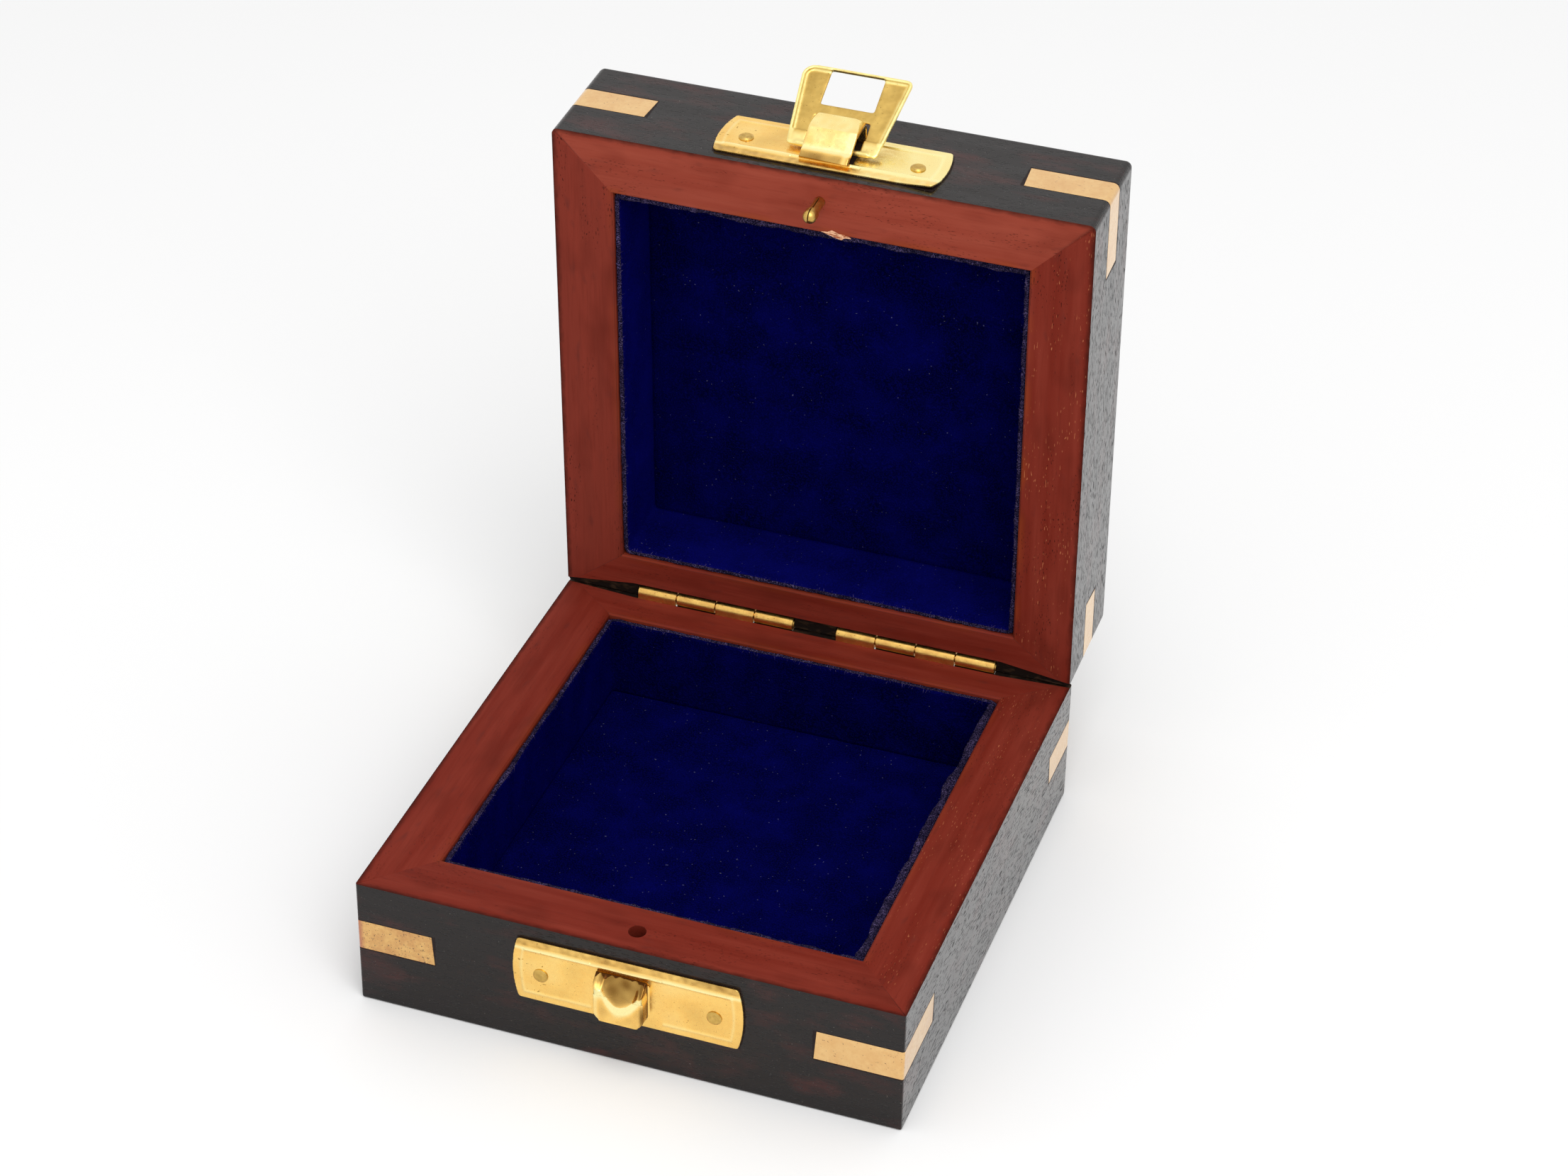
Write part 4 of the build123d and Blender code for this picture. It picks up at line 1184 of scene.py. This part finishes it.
@dataclass
class Fibres:
    """Fine hairs scattered over a piece's marked faces by Geometry Nodes."""

    name: str
    finish: Finish
    seed: int
    mark: str = "hairy"
    per_square_cm: float = 110.0
    length: float = 0.45
    thickness: float = 0.055
    lean: float = 0.7

    def inputs(self) -> dict[str, tuple[str, object]]:
        """The kind and the value of each of the scatter's inputs."""
        number = "NodeSocketFloat"
        return {"Hairs per square metre": (number, self.per_square_cm * 1e4),
                "Length": (number, self.length * MM), "Thickness": (number, self.thickness * MM),
                "Lean": (number, self.lean), "Seed": ("NodeSocketInt", self.seed),
                "Finish": ("NodeSocketMaterial", self.finish.material())}

    def tree(self) -> bpy.types.NodeTree:
        """The nodes that scatter the hairs."""
        group = bpy.data.node_groups.new(f"{self.name}_scatter", "GeometryNodeTree")
        kinds = {"Geometry": "NodeSocketGeometry"} | {name: kind for name, (kind, _) in self.inputs().items()}
        for name, kind in kinds.items():
            group.interface.new_socket(name, in_out="INPUT", socket_type=kind)
        group.interface.new_socket("Geometry", in_out="OUTPUT", socket_type="NodeSocketGeometry")
        given = add_node(group, "NodeGroupInput").outputs
        chosen = add_node(group, "GeometryNodeInputNamedAttribute", {"Name": self.mark}, data_type="BOOLEAN")
        points = add_node(group, "GeometryNodeDistributePointsOnFaces", {
            "Mesh": given["Geometry"], "Selection": chosen.outputs["Attribute"],
            "Density": given["Hairs per square metre"], "Seed": given["Seed"]})
        hair = add_node(group, "GeometryNodeMeshCone", {
            "Vertices": 3, "Side Segments": 1, "Radius Top": 0.0,
            "Radius Bottom": given["Thickness"], "Depth": given["Length"]}, fill_type="NONE")
        low = add_node(group, "ShaderNodeMath", {0: given["Lean"], 1: -1.0}, operation="MULTIPLY")
        sway = add_node(group, "FunctionNodeRandomValue", {
            0: low.outputs[0], 1: given["Lean"], "Seed": given["Seed"]}, data_type="FLOAT_VECTOR")
        turn = add_node(group, "FunctionNodeEulerToRotation", {0: sway.outputs[0]})
        aimed = add_node(group, "FunctionNodeRotateRotation", {
            0: points.outputs["Rotation"], 1: turn.outputs[0]}, rotation_space="LOCAL")
        grown = add_node(group, "FunctionNodeRandomValue", {
            2: 0.5, 3: 1.3, "Seed": given["Seed"]}, data_type="FLOAT")
        placed = add_node(group, "GeometryNodeInstanceOnPoints", {
            "Points": points.outputs["Points"], "Instance": hair.outputs["Mesh"],
            "Rotation": aimed.outputs[0], "Scale": grown.outputs[1]})
        real = add_node(group, "GeometryNodeRealizeInstances", {0: placed.outputs[0]})
        dressed = add_node(group, "GeometryNodeSetMaterial", {
            0: real.outputs[0], "Material": given["Finish"]})
        add_node(group, "NodeGroupOutput", {0: dressed.outputs[0]})
        return group

    def grow(self, ground: bpy.types.Object, body: str) -> None:
        """Grows the hairs on a piece's marked faces, as a piece of their own that rides on a body."""
        tuft = new_piece(self.name, ground.data.copy())
        scatter = tuft.modifiers.new("scatter", "NODES")
        group, values = self.tree(), self.inputs()
        scatter.node_group = group
        for item in group.interface.items_tree:
            if item.in_out == "INPUT" and item.name in values:
                scatter[item.identifier] = values[item.name][1]
        applied(tuft)
        declare(tuft, body)


@dataclass
class Cloth:
    """A lining piece being made: points in its tray in millimetres, and faces with what grows on each."""

    points: list[Vector] = field(default_factory=list)
    faces: list[tuple[int, ...]] = field(default_factory=list)
    hairy: list[bool] = field(default_factory=list)
    frayed: list[bool] = field(default_factory=list)

    def add(self, face: tuple[int, ...], hairy: bool = False, frayed: bool = False) -> None:
        """Adds a face, with pile or frayed threads on it."""
        self.faces.append(face)
        self.hairy.append(hairy)
        self.frayed.append(frayed)


@dataclass
class Lining:
    """The velvet of one well: a sheet glued to its floor and a strip glued round its walls.

    The loose shares say how far the strip's upper edge has come off each wall. The strip has a row of points
    at each of the levels, which are shares of its height.
    """

    half: Half
    depth: float
    loose: dict[str, float]
    upright: Finish
    seed: int
    sag: float = 0.12
    side: float = HALF - WALL
    front: float = -HALF + WALL
    back: float = HALF - REAR_WALL
    thickness: float = 0.8
    drop: float = 0.9
    corner: float = 1.6
    corner_turns: int = 6
    step: float = 0.9
    inset: float = 0.05
    curl_from: float = 0.8
    levels: tuple[float, ...] = (0.0, 0.04, 0.12, 0.25, 0.4, 0.55, 0.7, 0.8, 0.88, 0.94, 1.0)
    grid: tuple[int, int] = (46, 48)

    def placing(self) -> Matrix:
        """The move from a tray with its rim up at height nought to the half as it stands."""
        if self.half is Half.BASE:
            return Matrix.Translation((0, 0, BASE_RIM * MM)) @ Matrix.Scale(MM, 4)
        flip = Matrix.Diagonal((MM, MM, -MM, 1))
        return self.half.opening() @ Matrix.Translation((0, 0, LID_RIM * MM)) @ flip

    def ring(self) -> list[tuple[Vector, Vector]]:
        """Points once round the well's walls, each with the direction into the well."""
        low_x, high_x = -self.side + self.corner, self.side - self.corner
        low_y, high_y = self.front + self.corner, self.back - self.corner
        centres = ((high_x, low_y, -90), (high_x, high_y, 0), (low_x, high_y, 90), (low_x, low_y, 180))
        path = []
        for x, y, start in centres:
            for k in range(self.corner_turns + 1):
                angle = math.radians(start + 90 * k / self.corner_turns)
                out = Vector((math.cos(angle), math.sin(angle)))
                path.append((Vector((x, y)) + out * self.corner, -out))
        spread = []
        for here, there in zip(path, path[1:] + path[:1]):
            count = max(1, round((there[0] - here[0]).length / self.step))
            for k in range(count):
                spread.append((here[0].lerp(there[0], k / count), here[1].lerp(there[1], k / count)))
        return spread

    def unevenness(self, x: float, y: float, z: float, size: float) -> float:
        """A smooth irregular number from -1 to 1 at a place, with swells of a size in millimetres."""
        return noise.noise(Vector((x, y, z)) / size + Vector((self.seed, self.seed * 2.1, 0)))

    def top_lean(self, spot: Vector, inward: Vector) -> tuple[float, float]:
        """How the strip's cut edge stands off its wall.

        Args:
            spot: The place on the wall.
            inward: The direction into the well.

        Returns:
            How far the edge leans in, and how much higher than its cut it stands.
        """
        ragged = 0.5 + 0.5 * self.unevenness(spot.x, spot.y, 0, 6.0)
        fine = self.unevenness(spot.x, spot.y, 9, 1.6)
        sides = {"right": -inward.x, "left": inward.x, "front": inward.y, "back": -inward.y}
        loose = sum(self.loose[side] * max(0.0, share) ** 2 for side, share in sides.items())
        return loose * (0.35 + 0.9 * ragged) + 0.15 * fine, 0.3 * fine + 0.15 * ragged

    def column(self, spot: Vector, inward: Vector, height: float) -> list[Vector]:
        """The strip's points at a place on the wall, up its face and down its back.

        Args:
            spot: The place.
            inward: The direction into the well.
            height: The strip's height.

        Returns:
            A point for each level, and three at the back.
        """
        lean, lift = self.top_lean(spot, inward)
        foot = self.thickness - self.depth
        column = []
        for level in self.levels:
            z = foot + height * level + (lift if level == 1.0 else 0.0)
            curl = lean * max(0.0, (level - self.curl_from) / (1 - self.curl_from)) ** 1.5
            column.append((self.thickness + curl + 0.12 * self.unevenness(spot.x, spot.y, z, 5.0), z))
        top = column[-1][1]
        column += [(max(0.1, lean * 0.9), top + 0.12), (0.04, top - 0.25), (0.04, foot)]
        return [Vector((*(spot + inward * off), z)) for off, z in column]

    def walls(self) -> bpy.types.Object:
        """Builds the strip round the walls."""
        height = self.depth - self.drop - self.thickness
        cloth, ring = Cloth(), self.ring()
        for spot, inward in ring:
            cloth.points += self.column(spot, inward, height)
        top, rows = len(self.levels) - 1, len(self.levels) + 3
        for i in range(len(ring)):
            here, there = i * rows, (i + 1) % len(ring) * rows
            for j in range(rows):
                above = (j + 1) % rows
                cloth.add((here + j, there + j, there + above, here + above), j < top, j in (top, top + 1))
        return self.laid("wall", "lining_walls", cloth, self.upright)

    def floor(self) -> bpy.types.Object:
        """Builds the sheet on the floor, with its waves above and its flat back below."""
        across, along = self.grid
        cloth, width, layer = Cloth(), across + 1, (across + 1) * (along + 1)
        side, front, back = self.side - self.inset, self.front + self.inset, self.back - self.inset
        for upper in (True, False):
            for j in range(along + 1):
                for i in range(across + 1):
                    x = max(-side, min(side, -self.side + 2 * self.side * i / across))
                    y = max(front, min(back, self.front + (self.back - self.front) * j / along))
                    wave = self.sag * self.unevenness(x, y, 3, 16.0) + 0.05 * self.unevenness(x, y, 5, 3.0)
                    above = self.thickness + wave if upper else 0.03
                    cloth.points.append(Vector((x, y, above - self.depth)))
        for j in range(along):
            for i in range(across):
                a = j * width + i
                cloth.add((a, a + 1, a + width + 1, a + width), hairy=True)
                cloth.add(tuple(layer + k for k in (a, a + width, a + width + 1, a + 1)))
        rim = ([i for i in range(across)] + [j * width + across for j in range(along)]
               + [along * width + i for i in range(across, 0, -1)] + [j * width for j in range(along, 0, -1)])
        for a, b in zip(rim, rim[1:] + rim[:1]):
            cloth.add((b, a, layer + a, layer + b))
        return self.laid("floor", "lining_floor", cloth, VELVET)

    def laid(self, part: str, node: str, cloth: Cloth,
             finish: Finish) -> bpy.types.Object:
        """Args:
            part: The part of the well that it lines.
            node: The CAD node it stands in for, without the half's name.
            cloth: Its points and faces.
            finish: Its velvet.

        Returns:
            The piece.
        """
        name, place = f"{self.half.value}_{part}_velvet", self.placing()
        mesh = bpy.data.meshes.new(name)
        mesh.from_pydata([place @ p for p in cloth.points], [], cloth.faces)
        mesh.validate()
        if place.determinant() < 0:
            mesh.flip_normals()
        for mark, marked in (("hairy", cloth.hairy), ("frayed", cloth.frayed)):
            mesh.attributes.new(mark, "BOOLEAN", "FACE").data.foreach_set("value", marked)
        mesh.shade_smooth()
        dress(mesh, finish, CUT_EDGE)
        mesh.polygons.foreach_set("material_index", [int(frayed) for frayed in cloth.frayed])
        piece = new_piece(name, mesh)
        declare(piece, self.half.value, f"{self.half.value}_{node}")
        return piece

    def build(self) -> None:
        """Builds the lining and the hairs on it."""
        body, floor, walls = self.half.value, self.floor(), self.walls()
        Fibres(f"{body}_floor_pile", PILE, self.seed).grow(floor, body)
        Fibres(f"{body}_wall_pile", PILE, self.seed).grow(walls, body)
        Fibres(f"{body}_edge_fray", FRAY, self.seed + 1, "frayed", per_square_cm=1400.0, length=0.95,
               thickness=0.06, lean=1.1).grow(walls, body)


@dataclass
class Studio:
    """The pale floor, the soft light and the camera."""

    lens: float = 90.04
    eye: tuple[float, float, float] = (215.8, -598.2, 517.7)
    turn: float = -18.843
    tilt: float = 34.7185
    roll: float = 0.998
    floor_reach: float = 3.0
    aim: tuple[float, float, float] = (0.0, 0.02, 0.06)
    fill: float = 0.72

    def camera(self) -> None:
        """Sets the camera where the photograph was taken from."""
        turn, tilt, roll = (math.radians(a) for a in (self.turn, self.tilt, self.roll))
        ahead = Vector((math.sin(turn) * math.cos(tilt), math.cos(turn) * math.cos(tilt), -math.sin(tilt)))
        level = Vector((math.cos(turn), -math.sin(turn), 0))
        upright = level.cross(ahead)
        right = level * math.cos(roll) + upright * math.sin(roll)
        up = upright * math.cos(roll) - level * math.sin(roll)
        lens = bpy.data.cameras.new("camera")
        lens.lens = self.lens
        lens.clip_start, lens.clip_end = 0.01, 20.0
        camera = new_piece("camera", lens)
        camera.matrix_world = Matrix.Translation(Vector(self.eye) * MM) @ Matrix(
            (right, up, -ahead)).transposed().to_4x4()
        bpy.context.scene.camera = camera

    def floor(self) -> None:
        """Lays the white floor."""
        mesh = bpy.data.meshes.new("floor")
        reach = self.floor_reach
        mesh.from_pydata([(-reach, -reach, 0), (reach, -reach, 0), (reach, reach, 0), (-reach, reach, 0)],
                         [], [(0, 1, 2, 3)])
        paper = Recipe("floor_paper_white", "#ffffff").done(roughness=1.0, specular_ior_level=0.0)
        mesh.materials.append(paper)
        new_piece("floor", mesh)

    def lamp(self, name: str, spot: tuple[float, float, float], size: float, watts: float) -> None:
        """Hangs a soft square lamp that looks at the box.

        Args:
            name: Its name.
            spot: Where it hangs, in metres.
            size: Its side in metres.
            watts: Its power.
        """
        light = bpy.data.lights.new(name, "AREA")
        light.size = size
        light.energy = watts
        lamp = new_piece(name, light)
        aim = Vector(self.aim) - Vector(spot)
        lamp.matrix_world = Matrix.Translation(spot) @ aim.to_track_quat("-Z", "Y").to_matrix().to_4x4()

    def sky(self) -> None:
        """Fills the room with even light, and shows white behind the box and in its gloss."""
        world = bpy.context.scene.world or bpy.data.worlds.new("world")
        bpy.context.scene.world = world
        world.use_nodes = True
        tree = world.node_tree
        tree.nodes.clear()
        ray = add_node(tree, "ShaderNodeLightPath").outputs
        seen = ray["Is Camera Ray"]
        for kind in ("Is Glossy Ray", "Is Transmission Ray"):
            seen = add_node(tree, "ShaderNodeMath", {0: seen, 1: ray[kind]}, operation="MAXIMUM").outputs[0]
        fill, white = (add_node(tree, "ShaderNodeBackground", {"Color": (1, 1, 1, 1), "Strength": strength})
                       for strength in (self.fill, 1.0))
        mix = add_node(tree, "ShaderNodeMixShader", {0: seen, 1: fill.outputs[0], 2: white.outputs[0]})
        add_node(tree, "ShaderNodeOutputWorld", {"Surface": mix.outputs[0]})

    def build(self) -> None:
        """Sets up the whole studio."""
        bpy.context.scene.view_settings.view_transform = "Standard"
        self.camera()
        self.floor()
        self.lamp("key_lamp", (0.55, -0.75, 1.15), 0.9, 6.0)
        self.lamp("top_lamp", (0.12, -0.2, 1.15), 0.5, 2.2)
        self.sky()


def main() -> None:
    """Builds every sub-assembly in order."""
    logging.basicConfig(level=logging.INFO, format="%(name)s: %(message)s")
    Studio().build()
    for half in Half:
        Woodwork(half).build()
        Inlays(half).build()
    Lining(Half.BASE, depth=20.6, upright=VELVET, seed=3,
           loose={"right": 1.5, "left": 0.55, "front": 0.5, "back": 0.4}).build()
    Lining(Half.LID, depth=18.8, upright=LIT_WALL_VELVET, seed=8,
           loose={"right": 0.35, "left": 0.35, "front": 0.8, "back": 0.35}).build()
    Hinges().build()
    Fastening().build()
    Traces().build()


if __name__ == "__main__":
    main()
